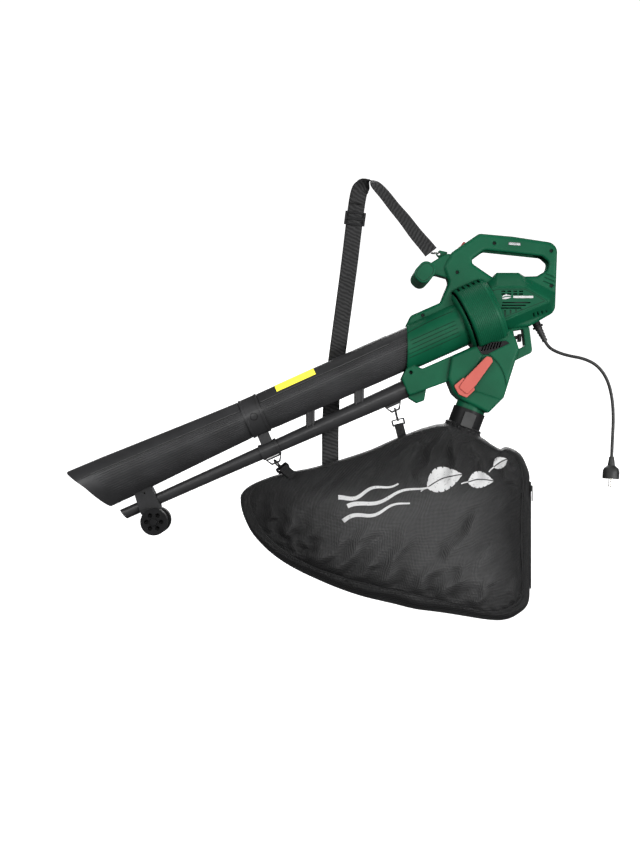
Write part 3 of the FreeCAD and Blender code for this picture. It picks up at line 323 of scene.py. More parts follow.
def webbing():
    """Ribbed polyester strap: lengthwise cords with an uneven twill over them."""
    material, tree, shader = new_material("webbing")
    where = add(tree, "ShaderNodeUVMap").outputs[0]
    split = add(tree, "ShaderNodeSeparateXYZ", {0: where})
    across, along = split.outputs[0], split.outputs[1]
    cord_line = sums(tree, "SINE", sums(tree, "MULTIPLY", across, 2 * math.pi / STRAP_CORD_PITCH))
    drift = sums(tree, "MULTIPLY", speckle(tree, 70, 3, where), 0.010)
    slant = sums(tree, "MULTIPLY_ADD", across, 0.35, drift)
    twill = sums(tree, "SINE", sums(tree, "MULTIPLY", sums(tree, "ADD", along, slant),
                                    2 * math.pi / TWILL_PERIOD))
    height = sums(tree, "MULTIPLY_ADD", cord_line, 0.5, twill)
    tone = blended(tree, ramp(tree, height, -1.3, 1.3), (0.003, 0.003, 0.0032, 1),
                   (0.046, 0.046, 0.047, 1))
    cloud = speckle(tree, 24, 3)
    full = blended(tree, ramp(tree, cloud, 0.4, 0.7, 0.0, 0.4), tone, (0.018, 0.018, 0.0185, 1))
    tree.links.new(full, shader.inputs["Base Color"])
    shader.inputs["Roughness"].default_value = 0.6
    shader.inputs["Specular IOR Level"].default_value = 0.25
    shader.inputs["Sheen Weight"].default_value = 0.10
    raised(tree, shader, height, 0.5, 0.0005)
    return material


def rubber():
    """Matt black rubber sleeve with a faint grain and handling marks."""
    material, tree, shader = new_material("cord_rubber")
    where = places(tree)
    tone = blended(tree, ramp(tree, speckle(tree, 70, 4, where), 0.35, 0.7),
                   (0.012, 0.012, 0.012, 1), (0.024, 0.024, 0.023, 1))
    tree.links.new(tone, shader.inputs["Base Color"])
    tree.links.new(ramp(tree, speckle(tree, 260, 4, where), 0.3, 0.7, 0.42, 0.6),
                   shader.inputs["Roughness"])
    raised(tree, shader, speckle(tree, 2400, 2, where), 0.15, 0.0002)
    return material


def finishes():
    """Material for each slot name of the record."""
    green, deep = (0.0045, 0.108, 0.050, 1), (0.003, 0.088, 0.040, 1)
    black, soft_black = (0.014, 0.014, 0.015, 1), (0.022, 0.022, 0.024, 1)
    tube, soft_tube = (0.028, 0.028, 0.029, 1), (0.040, 0.040, 0.042, 1)
    return {
        # The third colour of each plastic is the painted shade colour of its corners
        "green_plastic": plastic("green_plastic", green, deep, (0.001, 0.020, 0.009, 1), 0.42,
                                 1500, 0.17, 0.0060),
        "panel_green": plastic("panel_green", (0.008, 0.095, 0.047, 1), deep,
                               (0.001, 0.016, 0.008, 1), 0.5, 1900, 0.15),
        "tube_black": plastic("tube_black", tube, soft_tube, (0.004, 0.004, 0.004, 1), 0.36,
                              1100, 0.32),
        "black_plastic": plastic("black_plastic", (0.009, 0.009, 0.0095, 1), black,
                                 (0.003, 0.003, 0.003, 1), 0.42, 1600, 0.15),
        "hook_black": plastic("hook_black", black, soft_black, (0.004, 0.004, 0.004, 1), 0.3, 1800),
        "zip_black": plastic("zip_black", black, soft_black, (0.004, 0.004, 0.004, 1), 0.45, 1800),
        "grey_plastic": plastic("grey_plastic", (0.050, 0.050, 0.050, 1), (0.085, 0.085, 0.085, 1),
                                (0.03, 0.03, 0.03, 1), 0.45, 1600),
        "red_plastic": plastic("red_plastic", (0.66, 0.150, 0.120, 1), (0.60, 0.125, 0.100, 1),
                               (0.30, 0.010, 0.012, 1), 0.38, 1500),
        "label_yellow": label_paper(),
        "dark_steel": metal("dark_steel", (0.020, 0.026, 0.023, 1), (0.012, 0.016, 0.014, 1), 0.5),
        "steel": metal("steel", (0.56, 0.56, 0.55, 1), (0.44, 0.44, 0.44, 1), 0.3),
        "cast_alloy": metal("cast_alloy", (0.46, 0.47, 0.48, 1), (0.36, 0.37, 0.38, 1), 0.5, 500),
        "copper": metal("copper", (0.72, 0.30, 0.14, 1), (0.55, 0.20, 0.09, 1), 0.35),
        "pin_nickel": metal("pin_nickel", (0.68, 0.66, 0.61, 1), (0.58, 0.56, 0.52, 1), 0.22),
        "bag_nylon": nylon(),
        "webbing": webbing(),
        "cord_rubber": rubber(),
    }


# Mesh helpers

def piece(name, points, faces, finish, slot_name, body="blower"):
    """New mesh object that rides on a body; its slot_name argument is not used."""
    mesh = bpy.data.meshes.new(name)
    mesh.from_pydata([tuple(point) for point in points], [], faces)
    mesh.update()
    for face in mesh.polygons:
        face.use_smooth = True
    mesh.materials.append(finish)
    thing = bpy.data.objects.new(name, mesh)
    bpy.context.scene.collection.objects.link(thing)
    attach(thing, body)
    return thing


def lattice(rows, columns, wrap=False):
    """Quads between successive rows of points; wrap joins each row's ends."""
    last = columns if wrap else columns - 1
    faces = []
    for row in range(rows - 1):
        for column in range(last):
            beside = (column + 1) % columns
            low, high = row * columns, (row + 1) * columns
            faces.append((low + column, low + beside, high + beside, high + column))
    return faces


def spline(points, steps, closed=False):
    """Points of any number of values along a smooth curve through the given ones."""
    count = len(points)
    spans = count if closed else count - 1
    result = []
    for span in range(spans):
        picks = [span - 1, span, span + 1, span + 2]
        if closed:
            four = [points[n % count] for n in picks]
        else:
            four = [points[min(max(n, 0), count - 1)] for n in picks]
        for step in range(steps):
            t = step / steps
            result.append(tuple(
                0.5 * (2 * b + (c - a) * t + (2 * a - 5 * b + 4 * c - d) * t * t
                       + (3 * b - a - 3 * c + d) * t ** 3)
                for a, b, c, d in zip(*four)))
    if not closed:
        result.append(tuple(points[-1]))
    return result


def tube_along(path, radius, sides):
    """Points and faces of a closed round tube along a list of points."""
    points, faces = [], []
    normal = Vector((0.3, 0.5, 0.8))
    for n, here in enumerate(path):
        ahead = (path[min(n + 1, len(path) - 1)] - path[max(n - 1, 0)]).normalized()
        normal = (normal - ahead * normal.dot(ahead)).normalized()
        other = ahead.cross(normal)
        for side in range(sides):
            angle = 2 * math.pi * side / sides
            points.append(here + (normal * math.cos(angle) + other * math.sin(angle)) * radius)
    faces = lattice(len(path), sides, wrap=True)
    faces.append(tuple(range(sides))[::-1])
    faces.append(tuple(range(len(points) - sides, len(points))))
    return points, faces


def joined(parts):
    """One list of points and faces from several (points, faces)."""
    points, faces = [], []
    for some_points, some_faces in parts:
        base = len(points)
        points += some_points
        faces += [tuple(n + base for n in face) for face in some_faces]
    return points, faces


def smooth_step(value, low, high):
    """0 below low, 1 above high and an even curve between them."""
    t = min(max((value - low) / (high - low), 0.0), 1.0)
    return t * t * (3 - 2 * t)


# Catch bag: x and z of its outline in the middle plane, how far in the panel seam lies there
# and half the gusset's width

BAG_EDGE = [(-0.613, -0.572, 0.020, 0.015), (-0.606, -0.551, 0.016, 0.014),
            (-0.578, -0.532, 0.008, 0.014), (-0.522, -0.512, 0.006, 0.015),
            (-0.443, -0.496, 0.006, 0.016), (-0.335, -0.463, 0.006, 0.016),
            (-0.272, -0.436, 0.006, 0.017),
            (-0.250, -0.427, 0.006, 0.018), (-0.196, -0.407, 0.009, 0.026),
            (-0.150, -0.399, 0.012, 0.038), (-0.108, -0.412, 0.014, 0.044),
            (-0.070, -0.431, 0.013, 0.040), (-0.050, -0.445, 0.010, 0.030),
            (-0.029, -0.456, 0.009, 0.026), (-0.012, -0.452, 0.011, 0.028),
            (0.018, -0.470, 0.015, 0.032), (0.034, -0.512, 0.021, 0.036),
            (0.0375, -0.560, 0.025, 0.038), (0.0378, -0.660, 0.026, 0.038),
            (0.0378, -0.765, 0.026, 0.038), (0.031, -0.803, 0.028, 0.042),
            (0.008, -0.825, 0.030, 0.048), (-0.022, -0.838, 0.032, 0.054),
            (-0.065, -0.839, 0.033, 0.058), (-0.173, -0.822, 0.035, 0.060),
            (-0.254, -0.808, 0.037, 0.058), (-0.335, -0.788, 0.039, 0.054),
            (-0.443, -0.749, 0.039, 0.047), (-0.524, -0.706, 0.035, 0.038),
            (-0.578, -0.656, 0.029, 0.028), (-0.603, -0.612, 0.024, 0.020)]
BAG_MIDDLE = Vector((-0.200, 0, -0.635))
BAG_DEPTH = 0.098
OUTLET_START = Vector((-0.098, 0, -0.370))
OUTLET_DOWN = Vector((-0.357, 0, -0.934)).normalized()
CUFF_R = 0.0390
CUFF_TOP = 0.0365
NECK_REACH = 0.13
NECK_HOLE_R = 0.034
BELLY_POWER = 2.15
FOLD_GAIN = 1.9
SEAM_PITCH = 0.0026

# Folds of both panels: start and end (x, z), half width, height (a dent when negative)
FOLDS = [((-0.445, -0.712), (-0.372, -0.650), 0.011, 0.0052),
         ((-0.398, -0.726), (-0.322, -0.628), 0.012, 0.0064),
         ((-0.352, -0.742), (-0.318, -0.700), 0.008, 0.0040),
         ((-0.300, -0.756), (-0.246, -0.640), 0.013, 0.0066),
         ((-0.226, -0.768), (-0.176, -0.690), 0.011, 0.0056),
         ((-0.186, -0.700), (-0.104, -0.600), 0.010, -0.0062),
         ((-0.172, -0.780), (-0.108, -0.702), 0.011, 0.0056),
         ((-0.142, -0.738), (-0.070, -0.662), 0.013, -0.0042),
         ((-0.092, -0.796), (-0.062, -0.738), 0.009, 0.0048),
         ((-0.020, -0.800), (0.004, -0.728), 0.010, 0.0050),
         ((-0.556, -0.640), (-0.538, -0.590), 0.010, 0.0052),
         ((-0.515, -0.668), (-0.490, -0.600), 0.014, 0.0060),
         ((-0.500, -0.690), (-0.520, -0.640), 0.009, -0.0056),
         ((-0.470, -0.690), (-0.440, -0.655), 0.010, -0.0045),
         ((-0.585, -0.600), (-0.570, -0.560), 0.007, 0.0035),
         ((-0.176, -0.440), (-0.214, -0.520), 0.012, 0.0046),
         ((-0.136, -0.445), (-0.146, -0.530), 0.011, 0.0050),
         ((-0.092, -0.455), (-0.066, -0.520), 0.010, 0.0046),
         ((-0.052, -0.470), (0.004, -0.540), 0.010, 0.0040),
         ((-0.030, -0.480), (0.016, -0.500), 0.007, -0.0040),
         ((-0.205, -0.430), (-0.290, -0.490), 0.014, 0.0032),
         ((0.000, -0.640), (0.014, -0.560), 0.008, 0.0030)]


def folds(x, z, side):
    """Height of the wrinkles at a point of one panel."""
    total = 0.0
    for number, (start, end, width, height) in enumerate(FOLDS):
        shift = 0.0 if side < 0 else 0.018 * math.sin(2.3 * number)
        run = Vector(end) - Vector(start)
        local = Vector((x - shift, z)) - Vector(start)
        along = local.dot(run) / run.length_squared
        away = (local.x * run.y - local.y * run.x) / run.length
        away += 0.004 * math.sin(9 * along + number)
        fade = smooth_step(along, -0.35, 0.15) * (1 - smooth_step(along, 0.75, 1.3))
        ridge = math.exp(-(away / width) ** 2)
        ridge -= 0.45 * math.exp(-((away - 1.7 * width) / (1.1 * width)) ** 2)
        total += FOLD_GAIN * height * fade * ridge
    return total


def crumple(x, z, side):
    """Broad dents and small soft ripples of the nylon."""
    broad = noise.noise(Vector((x * 9, side * 4.0, z * 9)))
    slanted = noise.noise(Vector(((x + z) * 13 + 3, side * 2.0, (z - x) * 38)))
    fine = noise.noise(Vector(((x + z) * 50, side * 7.0, (z - x) * 95)))
    return 0.0065 * broad + 0.0040 * slanted + 0.0009 * fine


def bag_point(edge, ring, side, place):
    """Point of the bag; ring runs from 0 at the outline over 1 at the seam to 2 at the middle."""
    x, z, inset, half = edge
    rim = Vector((x, 0, z))
    inward = (BAG_MIDDLE - rim).normalized()
    if ring <= 1:
        angle = ring * math.pi / 2
        point = rim + inward * inset * (1 - math.cos(angle))
        belly = 0.0030 * math.sin(math.pi * ring) * math.sin(place * 67 + 2 * math.sin(place * 23))
        point -= inward * belly * smooth_step(inset, 0.012, 0.025)
        point.y = side * half * math.sin(angle)
        return point
    depth = ring - 1
    seam = rim + inward * inset
    point = seam.lerp(BAG_MIDDLE, depth)
    high = BAG_DEPTH * (1 - 0.10 * smooth_step(point.z, -0.60, -0.44))
    rise = half + (high - half) * (1 - (1 - depth) ** BELLY_POWER)
    near_seam = smooth_step(depth, 0.0, 0.13)
    groove = -0.0022 * math.exp(-(depth / 0.012) ** 2)
    pucker = 0.0014 * math.sin(place * 251) * math.exp(-(depth / 0.06) ** 1.5)
    pucker *= smooth_step(inset, 0.012, 0.025)
    soft = (folds(point.x, point.z, side) + crumple(point.x, point.z, side)) * near_seam
    point.y = side * (rise + soft + groove + pucker)
    return point


def round_neck(point):
    """Moves a point of the bag that is inside the neck out to its wall."""
    local = point - OUTLET_START
    along = local.dot(OUTLET_DOWN)
    away = local - OUTLET_DOWN * along
    if along > NECK_REACH or away.length > CUFF_R or away.length < 1e-6:
        return point
    return point + away.normalized() * (CUFF_R - away.length) * 0.999


def in_neck(point):
    """Whether a face at this point would close the neck."""
    local = point - OUTLET_START
    along = local.dot(OUTLET_DOWN)
    return along < NECK_REACH and (local - OUTLET_DOWN * along).length < NECK_HOLE_R


def bag_shell(finish):
    """Two sagging panels and the gusset between them, open at the neck."""
    edge = spline(BAG_EDGE, 13, closed=True)
    columns = len(edge)
    rings = [n / 7 for n in range(8)] + [1 + (n / 46) ** 1.15 for n in range(1, 46)]
    order = [(ring, -1) for ring in reversed(rings[1:])] + [(0, 1)]
    order += [(ring, 1) for ring in rings[1:]]
    points = [bag_point(edge[n], ring, side, n / columns)
              for ring, side in order for n in range(columns)]
    faces = lattice(len(order), columns, wrap=True)
    for side, row in ((-1, 0), (1, len(order) - 1)):
        points.append(BAG_MIDDLE + Vector((0, side * (BAG_DEPTH + crumple(*BAG_MIDDLE.xz, side)
                                                      + folds(*BAG_MIDDLE.xz, side)), 0)))
        pole = len(points) - 1
        for n in range(columns):
            pair = (row * columns + n, row * columns + (n + 1) % columns)
            faces.append((pair + (pole,)) if side > 0 else (pair[::-1] + (pole,)))
    kept = [face for face in faces
            if not in_neck(sum((points[n] for n in face), Vector()) / len(face))]
    bag = piece("bag_shell", [round_neck(point) for point in points], kept, finish, "bag_nylon")
    trim = bmesh.new()
    trim.from_mesh(bag.data)
    bmesh.ops.delete(trim, geom=[v for v in trim.verts if not v.link_faces], context="VERTS")
    bmesh.ops.recalc_face_normals(trim, faces=trim.faces)
    trim.to_mesh(bag.data)
    trim.free()
    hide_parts("catch_bag")
    return bag, edge


def outlet_frame():
    """Two directions square to the outlet axis."""
    side = Vector((0, 1, 0))
    return OUTLET_DOWN.cross(side).normalized(), side


def cuff(bag, finish):
    """Elasticated sleeve of the bag round its connector, gathered in pleats."""
    ahead, side = outlet_frame()
    points = []
    columns, rows = 144, 16
    for row in range(rows + 1):
        for column in range(columns):
            turn = 2 * math.pi * column / columns
            out = ahead * math.cos(turn) + side * math.sin(turn)
            start = OUTLET_START + OUTLET_DOWN * 0.02 + out * (CUFF_R + 0.011)
            hit, where = bag.ray_cast(start, OUTLET_DOWN)[:2]
            foot = (where - OUTLET_START).dot(OUTLET_DOWN) if hit else 0.085
            foot = min(foot, 0.105) + 0.003
            part = row / rows
            along = CUFF_TOP + (foot - CUFF_TOP) * part
            pleat = math.sin(19 * turn + 1.5 * math.sin(3 * turn))
            radius = CUFF_R + 0.0008 + 0.0125 * part ** 3.2
            radius += 0.0012 * pleat * (0.25 + 0.75 * math.sin(math.pi * min(part * 1.1, 1)))
            radius += 0.0022 * math.exp(-((part - 0.16) / 0.09) ** 2)
            points.append(OUTLET_START + OUTLET_DOWN * along + out * radius)
    inner = []
    for point in points[:columns]:
        local = point - OUTLET_START
        along = local.dot(OUTLET_DOWN)
        out = (local - OUTLET_DOWN * along).normalized()
        inner.append(OUTLET_START + OUTLET_DOWN * (0.037 + along - CUFF_TOP)
                     + out * (CUFF_R - 0.0011))
    rows_all = [inner] + [points[n * columns:(n + 1) * columns] for n in range(rows + 1)]
    flat = [p for row in rows_all for p in row]
    return piece("bag_cuff", flat, lattice(len(rows_all), columns, wrap=True), finish, "bag_nylon")


def seam_line(edge, side, ring, out):
    """Closed line on the bag, out metres proud of it."""
    columns = len(edge)
    line = []
    for n in range(columns):
        point = bag_point(edge[n], ring, side, n / columns)
        local = point - OUTLET_START
        if (local - OUTLET_DOWN * local.dot(OUTLET_DOWN)).length < 0.05 and point.z > -0.47:
            line.append(None)
            continue
        line.append(point + Vector((0, side * out, 0)))
    return line


def runs(line):
    """Unbroken stretches of a line that has gaps."""
    if None in line:
        gap = line.index(None)
        line = line[gap:] + line[:gap]
    stretches, current = [], []
    for point in line + [None]:
        if point is None:
            if len(current) > 2:
                stretches.append(current)
            current = []
        else:
            current.append(point)
    return stretches


def resampled(path, pitch):
    """Points at an even pitch along a list of points."""
    result, need = [path[0]], pitch
    for here, after in zip(path, path[1:]):
        length = (after - here).length
        while need <= length:
            result.append(here.lerp(after, need / length))
            need += pitch
        need -= length
    return result


def bag_seams(edge, nylon_finish, thread_finish):
    """Bound seam round both panels with a row of stitches inside it."""
    piping, stitches = [], []
    for side in (-1, 1):
        for stretch in runs(seam_line(edge, side, 1.0, 0.0004)):
            piping.append(tube_along(stretch, 0.0013, 6))
        for ring, out in ((1.018, 0.0007), (0.90, 0.0005)):
            for stretch in runs(seam_line(edge, side, ring, out)):
                marks = resampled(stretch, SEAM_PITCH)
                for n in range(0, len(marks) - 1, 2):
                    stitches.append(tube_along([marks[n], marks[n].lerp(marks[n + 1], 0.5),
                                                marks[n + 1]], 0.00036, 4))
    piece("bag_piping", *joined(piping), nylon_finish, "bag_nylon")
    piece("bag_stitches", *joined(stitches), thread_finish, "bag_nylon")


def ribbon(path, half_width, across_steps=4):
    """Flat band in the middle plane along (x, z) points; half_width is a function of 0..1."""
    points, last = [], len(path) - 1
    for n, here in enumerate(path):
        ahead = (path[min(n + 1, last)] - path[max(n - 1, 0)]).normalized()
        aside = Vector((-ahead.y, ahead.x))
        for step in range(across_steps + 1):
            offset = (2 * step / across_steps - 1) * half_width(n / last)
            flat = here + aside * offset
            points.append(Vector((flat.x, 0, flat.y)))
    return points, lattice(len(path), across_steps + 1)


def leaf(base, direction, length, width):
    """Leaf outline in two halves beside a bare midrib, with a stalk."""
    ahead = Vector(direction).normalized()
    aside = Vector((-ahead.y, ahead.x))
    parts = []
    for side in (-1, 1):
        points = []
        steps = 36
        for n in range(steps + 1):
            t = n / steps
            bend = aside * (0.08 * length * math.sin(math.pi * t))
            spread = width / 2 * math.sin(math.pi * t ** 0.8) ** 0.9
            notch = 0.82 if n % 6 == 3 else 1.0
            for step in range(6):
                offset = 0.0012 + spread * notch * step / 5
                place = Vector(base) + ahead * length * t + bend + aside * side * offset
                points.append(Vector((place.x, 0, place.y)))
        parts.append((points, lattice(steps + 1, 6)))
    stalk = [Vector(base) - ahead * 0.016 * (1 - n / 8) - aside * 0.003 * (1 - n / 8) ** 2
             for n in range(9)]
    parts.append(ribbon(stalk, lambda t: 0.0012, 2))
    return parts


def laid_on(parts, target, lift, toward=-1):
    """Moves flat parts onto the outer face of a mesh object, lift proud of it."""
    points, faces = joined(parts)
    placed = []
    for point in points:
        start = Vector((point.x, toward * 0.4, point.z))
        hit, where = target.ray_cast(start, Vector((0, -toward, 0)))[:2]
        placed.append(where + Vector((0, toward * lift, 0)) if hit else point)
    return placed, faces


def print_white():
    """Slightly worn white ink that the weave shows through."""
    material, tree, shader = new_material("bag_print")
    where = places(tree)
    yarn = weave_height(tree, where, PRINT_YARN_PERIOD)
    worn = ramp(tree, speckle(tree, 260, 5, where), 0.58, 0.72)
    tone = blended(tree, ramp(tree, yarn, -0.9, 0.9), (0.60, 0.60, 0.60, 1), (0.80, 0.80, 0.80, 1))
    tree.links.new(blended(tree, worn, tone, (0.36, 0.36, 0.36, 1)), shader.inputs["Base Color"])
    shader.inputs["Roughness"].default_value = 0.6
    raised(tree, shader, yarn, 0.4, 0.0005)
    return material


PRINT_SLOPE = 16


def bag_print(bag, finish):
    """Plain leaves behind wavy lines, printed along the near panel on a slope in degrees."""
    rise = Vector((math.cos(math.radians(PRINT_SLOPE)), math.sin(math.radians(PRINT_SLOPE))))
    up = Vector((-rise.y, rise.x))
    start = Vector((-0.384, -0.612))
    parts = []
    for row, (indent, length) in enumerate(((0.0, 0.150), (0.018, 0.185), (0.004, 0.135))):
        path = []
        for n in range(71):
            t = n / 70
            wave = 0.0065 * math.sin(t * 3.2 * math.pi + row) * (1 - 0.4 * t)
            path.append(start + rise * (indent + length * t) + up * (0.023 * row + wave))
        parts.append(ribbon(path, lambda t: 0.0042 * (1 - 0.75 * t) + 0.0006))
    for place, height, turn, length, width in ((0.196, 0.020, 4, 0.082, 0.050),
                                               (0.286, 0.006, -14, 0.056, 0.034),
                                               (0.352, 0.020, 12, 0.036, 0.022)):
        angle = math.radians(PRINT_SLOPE + turn)
        parts += leaf(start + rise * place + up * height, (math.cos(angle), math.sin(angle)),
                      length, width)
    piece("bag_leaf_print", *laid_on(parts, bag, 0.0007), finish, "bag_nylon")


# Ribs and lines that lie on the CAD surfaces

# Where rays towards the tubes' axis start, and the radius of the drum's outer skin
RAY_REACH = 0.16
DRUM_SKIN_R = 0.078
HOUSING = ["housing_left", "housing_right"]


def tube_skin(u, angle, holders):
    """Point and outward direction on the named CAD nodes, at an angle round the tubes' axis."""
    up = machine(0, 1)
    out = (up * math.cos(angle) + Vector((0, -1, 0)) * math.sin(angle)).normalized()
    start = machine(u, TUBE_W) + out * RAY_REACH
    best = None
    for name in holders:
        hit, where = NODES[name].ray_cast(start, -out)[:2]
        if hit and (best is None or (where - start).length < (best - start).length):
            best = where
    return best, out


def strip(path, outs, half_width, height):
    """Raised rib along points on a surface; its section is a low trapezoid."""
    points = []
    last = len(path) - 1
    for n, (here, out) in enumerate(zip(path, outs)):
        ahead = (path[min(n + 1, last)] - path[max(n - 1, 0)]).normalized()
        aside = ahead.cross(out).normalized()
        grow = min(1.0, 0.15 + n / 1.5, 0.15 + (last - n) / 1.5)
        for offset, lift in ((-1, -0.3), (-0.55, 1), (0.55, 1), (1, -0.3)):
            points.append(here + aside * half_width * offset + out * height * lift * grow)
    return points, lattice(len(path), 4)


def lengthwise_rib(u_from, u_to, angle, holders, half_width, height, steps=40):
    """Raised rib along the tubes at one angle; None where the surface isn't there."""
    path, outs = [], []
    for n in range(steps + 1):
        where, out = tube_skin(u_from + (u_to - u_from) * n / steps, angle, holders)
        if where is not None:
            path.append(where)
            outs.append(out)
    steady = [(path[n], outs[n]) for n in range(len(path))
              if abs((path[n] - path[n - 1]).length - (u_to - u_from) / steps) < 0.006 or n == 0]
    if len(steady) < 4:
        return None
    return strip([a for a, b in steady], [b for a, b in steady], half_width, height)


def tube_ribs(finish):
    """Fine ribs along the underside and flanks of both suction tubes."""
    for name, u_from, u_to in (("lower", -1.078, -0.712), ("upper", -0.660, -0.262)):
        holder = [f"{name}_suction_tube"]
        parts = []
        for n in range(43):
            angle = math.radians(58 + 5.8 * n)
            scoop = 0.024 * (1 - math.cos(angle)) if name == "lower" else 0
            rib = lengthwise_rib(u_from + scoop, u_to, angle, holder, 0.0013, 0.0007)
            if rib:
                parts.append(rib)
        piece(f"{name}_tube_ribs", *joined(parts), finish, "tube_black")


def duct_lines(finish, drum_finish):
    """Raised lines along the duct, in a dark green that paints the shade of grooves, and hoops
    round the fan drum.
    """
    parts, hoops = [], []
    for flank in (1, -1):
        for degrees in (78, 88, 98, 108, 118):
            rib = lengthwise_rib(-0.338, -0.196, math.radians(flank * degrees), HOUSING, 0.0007,
                                 0.0006, 24)
            if rib:
                parts.append(rib)
        arch, outs = [], []
        for n in range(33):
            t = n / 32
            degrees = 62 - 13 * math.sin(math.pi * min(t * 0.62 + 0.1, 1) - 0.3)
            where, out = tube_skin(-0.345 + 0.155 * t, math.radians(flank * degrees), HOUSING)
            if where is not None:
                arch.append(where)
                outs.append(out)
        parts.append(strip(arch, outs, 0.0008, 0.0006))
        for hoop in range(13):
            u = -0.160 + 0.0042 * hoop
            axis = machine(u, TUBE_W)
            path, outs = [], []
            for n in range(61):
                degrees = 20 + 130 * n / 60
                where, out = tube_skin(u, math.radians(flank * degrees), HOUSING)
                if where is not None and abs((where - axis).length - DRUM_SKIN_R) < 0.004:
                    path.append(where)
                    outs.append(out)
            if len(path) > 10:
                hoops.append(strip(path, outs, 0.0012, 0.0006))
    piece("duct_ribs", *joined(parts), finish, "green_plastic")
    piece("drum_hoops", *joined(hoops), drum_finish, "green_plastic")


# Shoulder strap: places along its route, each with the direction of its width there

STRAP_ROUTE = [((-0.411, 0.022, -0.506), (1, 0, 0)), ((-0.411, 0.022, -0.463), (1, 0, 0)),
               ((-0.411, 0.022, -0.420), (1, 0, 0)), ((-0.409, 0.030, -0.366), (1, 0, 0)),
               ((-0.406, 0.049, -0.326), (1, 0, -0.05)), ((-0.387, 0.035, -0.183), (1, 0, -0.1)),
               ((-0.368, 0.022, -0.040), (1, 0, -0.12)), ((-0.350, 0.0085, 0.104), (1, 0, -0.13)),
               ((-0.338, 0.004, 0.136), (0.8, 0.5, -0.4)), ((-0.322, 0, 0.150), (0, 1, 0.15)),
               ((-0.307, 0, 0.136), (0.54, 0.71, 0.45)), ((-0.266, 0, 0.086), (0.60, 0.60, 0.50)),
               ((-0.225, 0, 0.036), (0.66, 0.50, 0.55)), ((-0.184, 0, -0.014), (0.71, 0.39, 0.59))]
STRAP_WIDTH = 0.038
STRAP_THICK = 0.0016
STRAP_STEPS = 24
STRAP_STITCH = 0.0022


def strap_rows(first, last, lift=0.0, narrow=0.0):
    """Rows of points round the webbing between two steps along its route."""
    stations = [tuple(place) + tuple(wide) for place, wide in STRAP_ROUTE]
    line = spline(stations, STRAP_STEPS)[first:last]
    rows, marks, run = [], [], 0.0
    for n, values in enumerate(line):
        here, wide = Vector(values[:3]), Vector(values[3:])
        ahead = Vector(line[min(n + 1, len(line) - 1)][:3]) - Vector(line[max(n - 1, 0)][:3])
        ahead.normalize()
        wide = (wide - ahead * wide.dot(ahead)).normalized()
        face = wide.cross(ahead)
        if n:
            run += (here - Vector(line[n - 1][:3])).length
        half = STRAP_WIDTH / 2 - narrow
        bow = 0.0009 * math.sin(run * 31) + 0.0006 * math.sin(run * 83 + 1)
        row = []
        for side in (1, -1):
            for step in range(9):
                t = (2 * step / 8 - 1) * side
                thick = side * STRAP_THICK / 2 * (1 - abs(t) ** 8 * 0.8)
                curl = 0.0011 * (1 - t * t) * math.sin(run * 12)
                row.append(here + wide * half * t + face * (thick + bow + curl + lift))
                marks.append((half * t, run))
        rows.append(row)
    return rows, marks


def band(name, rows, marks, finish):
    """Closed flat band with its weave laid along it."""
    columns = len(rows[0])
    faces = lattice(len(rows), columns, wrap=True)
    flat = [point for row in rows for point in row]
    faces.append(tuple(range(columns))[::-1])
    faces.append(tuple(range(len(flat) - columns, len(flat))))
    made = piece(name, flat, faces, finish, "webbing")
    layer = made.data.uv_layers.new(name="weave")
    for loop in made.data.loops:
        layer.data[loop.index].uv = marks[loop.vertex_index]
    return made


def strap(finish, thread_finish):
    """Strap from the bag, up behind the tubes, over its top fold and down to the lug."""
    rows, marks = strap_rows(0, None)
    whole = band("strap_webbing", rows, marks, finish)
    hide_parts("shoulder_strap")
    for name, first, last, lift in (("strap_lower_fold", 10, 46, -0.0019),
                                    ("strap_buckle_tail", 166, 190, 0.0060)):
        some, some_marks = strap_rows(first, last, lift, 0.0006)
        band(name, some, some_marks, finish)
    stitches = []
    box_rows = strap_rows(12, 30, -0.0029, 0.005)[0]
    corners = [box_rows[0][0], box_rows[0][8], box_rows[-1][8], box_rows[-1][0], box_rows[0][0],
               box_rows[-1][8], box_rows[-1][0], box_rows[0][8]]
    for here, after in zip(corners, corners[1:]):
        marks_on = resampled([here, after], STRAP_STITCH)
        for n in range(0, len(marks_on) - 1, 2):
            stitches.append(tube_along([marks_on[n], marks_on[n + 1]], 0.0004, 4))
    piece("strap_stitches", *joined(stitches), thread_finish, "webbing")


# Mains cord: the route of its CAD solid, in metres

CORD = [(0.0723, 0, -0.2145), (0.0784, -0.0005, -0.2266), (0.097, -0.002, -0.2385),
        (0.125, -0.004, -0.2475), (0.157, -0.005, -0.253), (0.189, -0.003, -0.268),
        (0.213, 0.002, -0.299), (0.225, 0.006, -0.342), (0.228, 0.007, -0.388),
        (0.225, 0.005, -0.434), (0.223, 0.004, -0.474)]
CORD_R = 0.0036


def mains_cord(finish):
    """Mains lead as one curve, from its gland to its plug."""
    curve = bpy.data.curves.new("mains_lead", "CURVE")
    curve.dimensions = "3D"
    line = curve.splines.new("NURBS")
    line.points.add(len(CORD) - 1)
    for place, point in zip(line.points, CORD):
        place.co = (*point, 1)
    line.order_u = 3
    line.use_endpoint_u = True
    line.resolution_u = 16
    curve.bevel_depth = CORD_R
    curve.bevel_resolution = 6
    curve.use_fill_caps = True
    curve.materials.append(finish)
    lead = bpy.data.objects.new("mains_lead", curve)
    bpy.context.scene.collection.objects.link(lead)
    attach(lead, "blower")
    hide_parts("mains_cord")


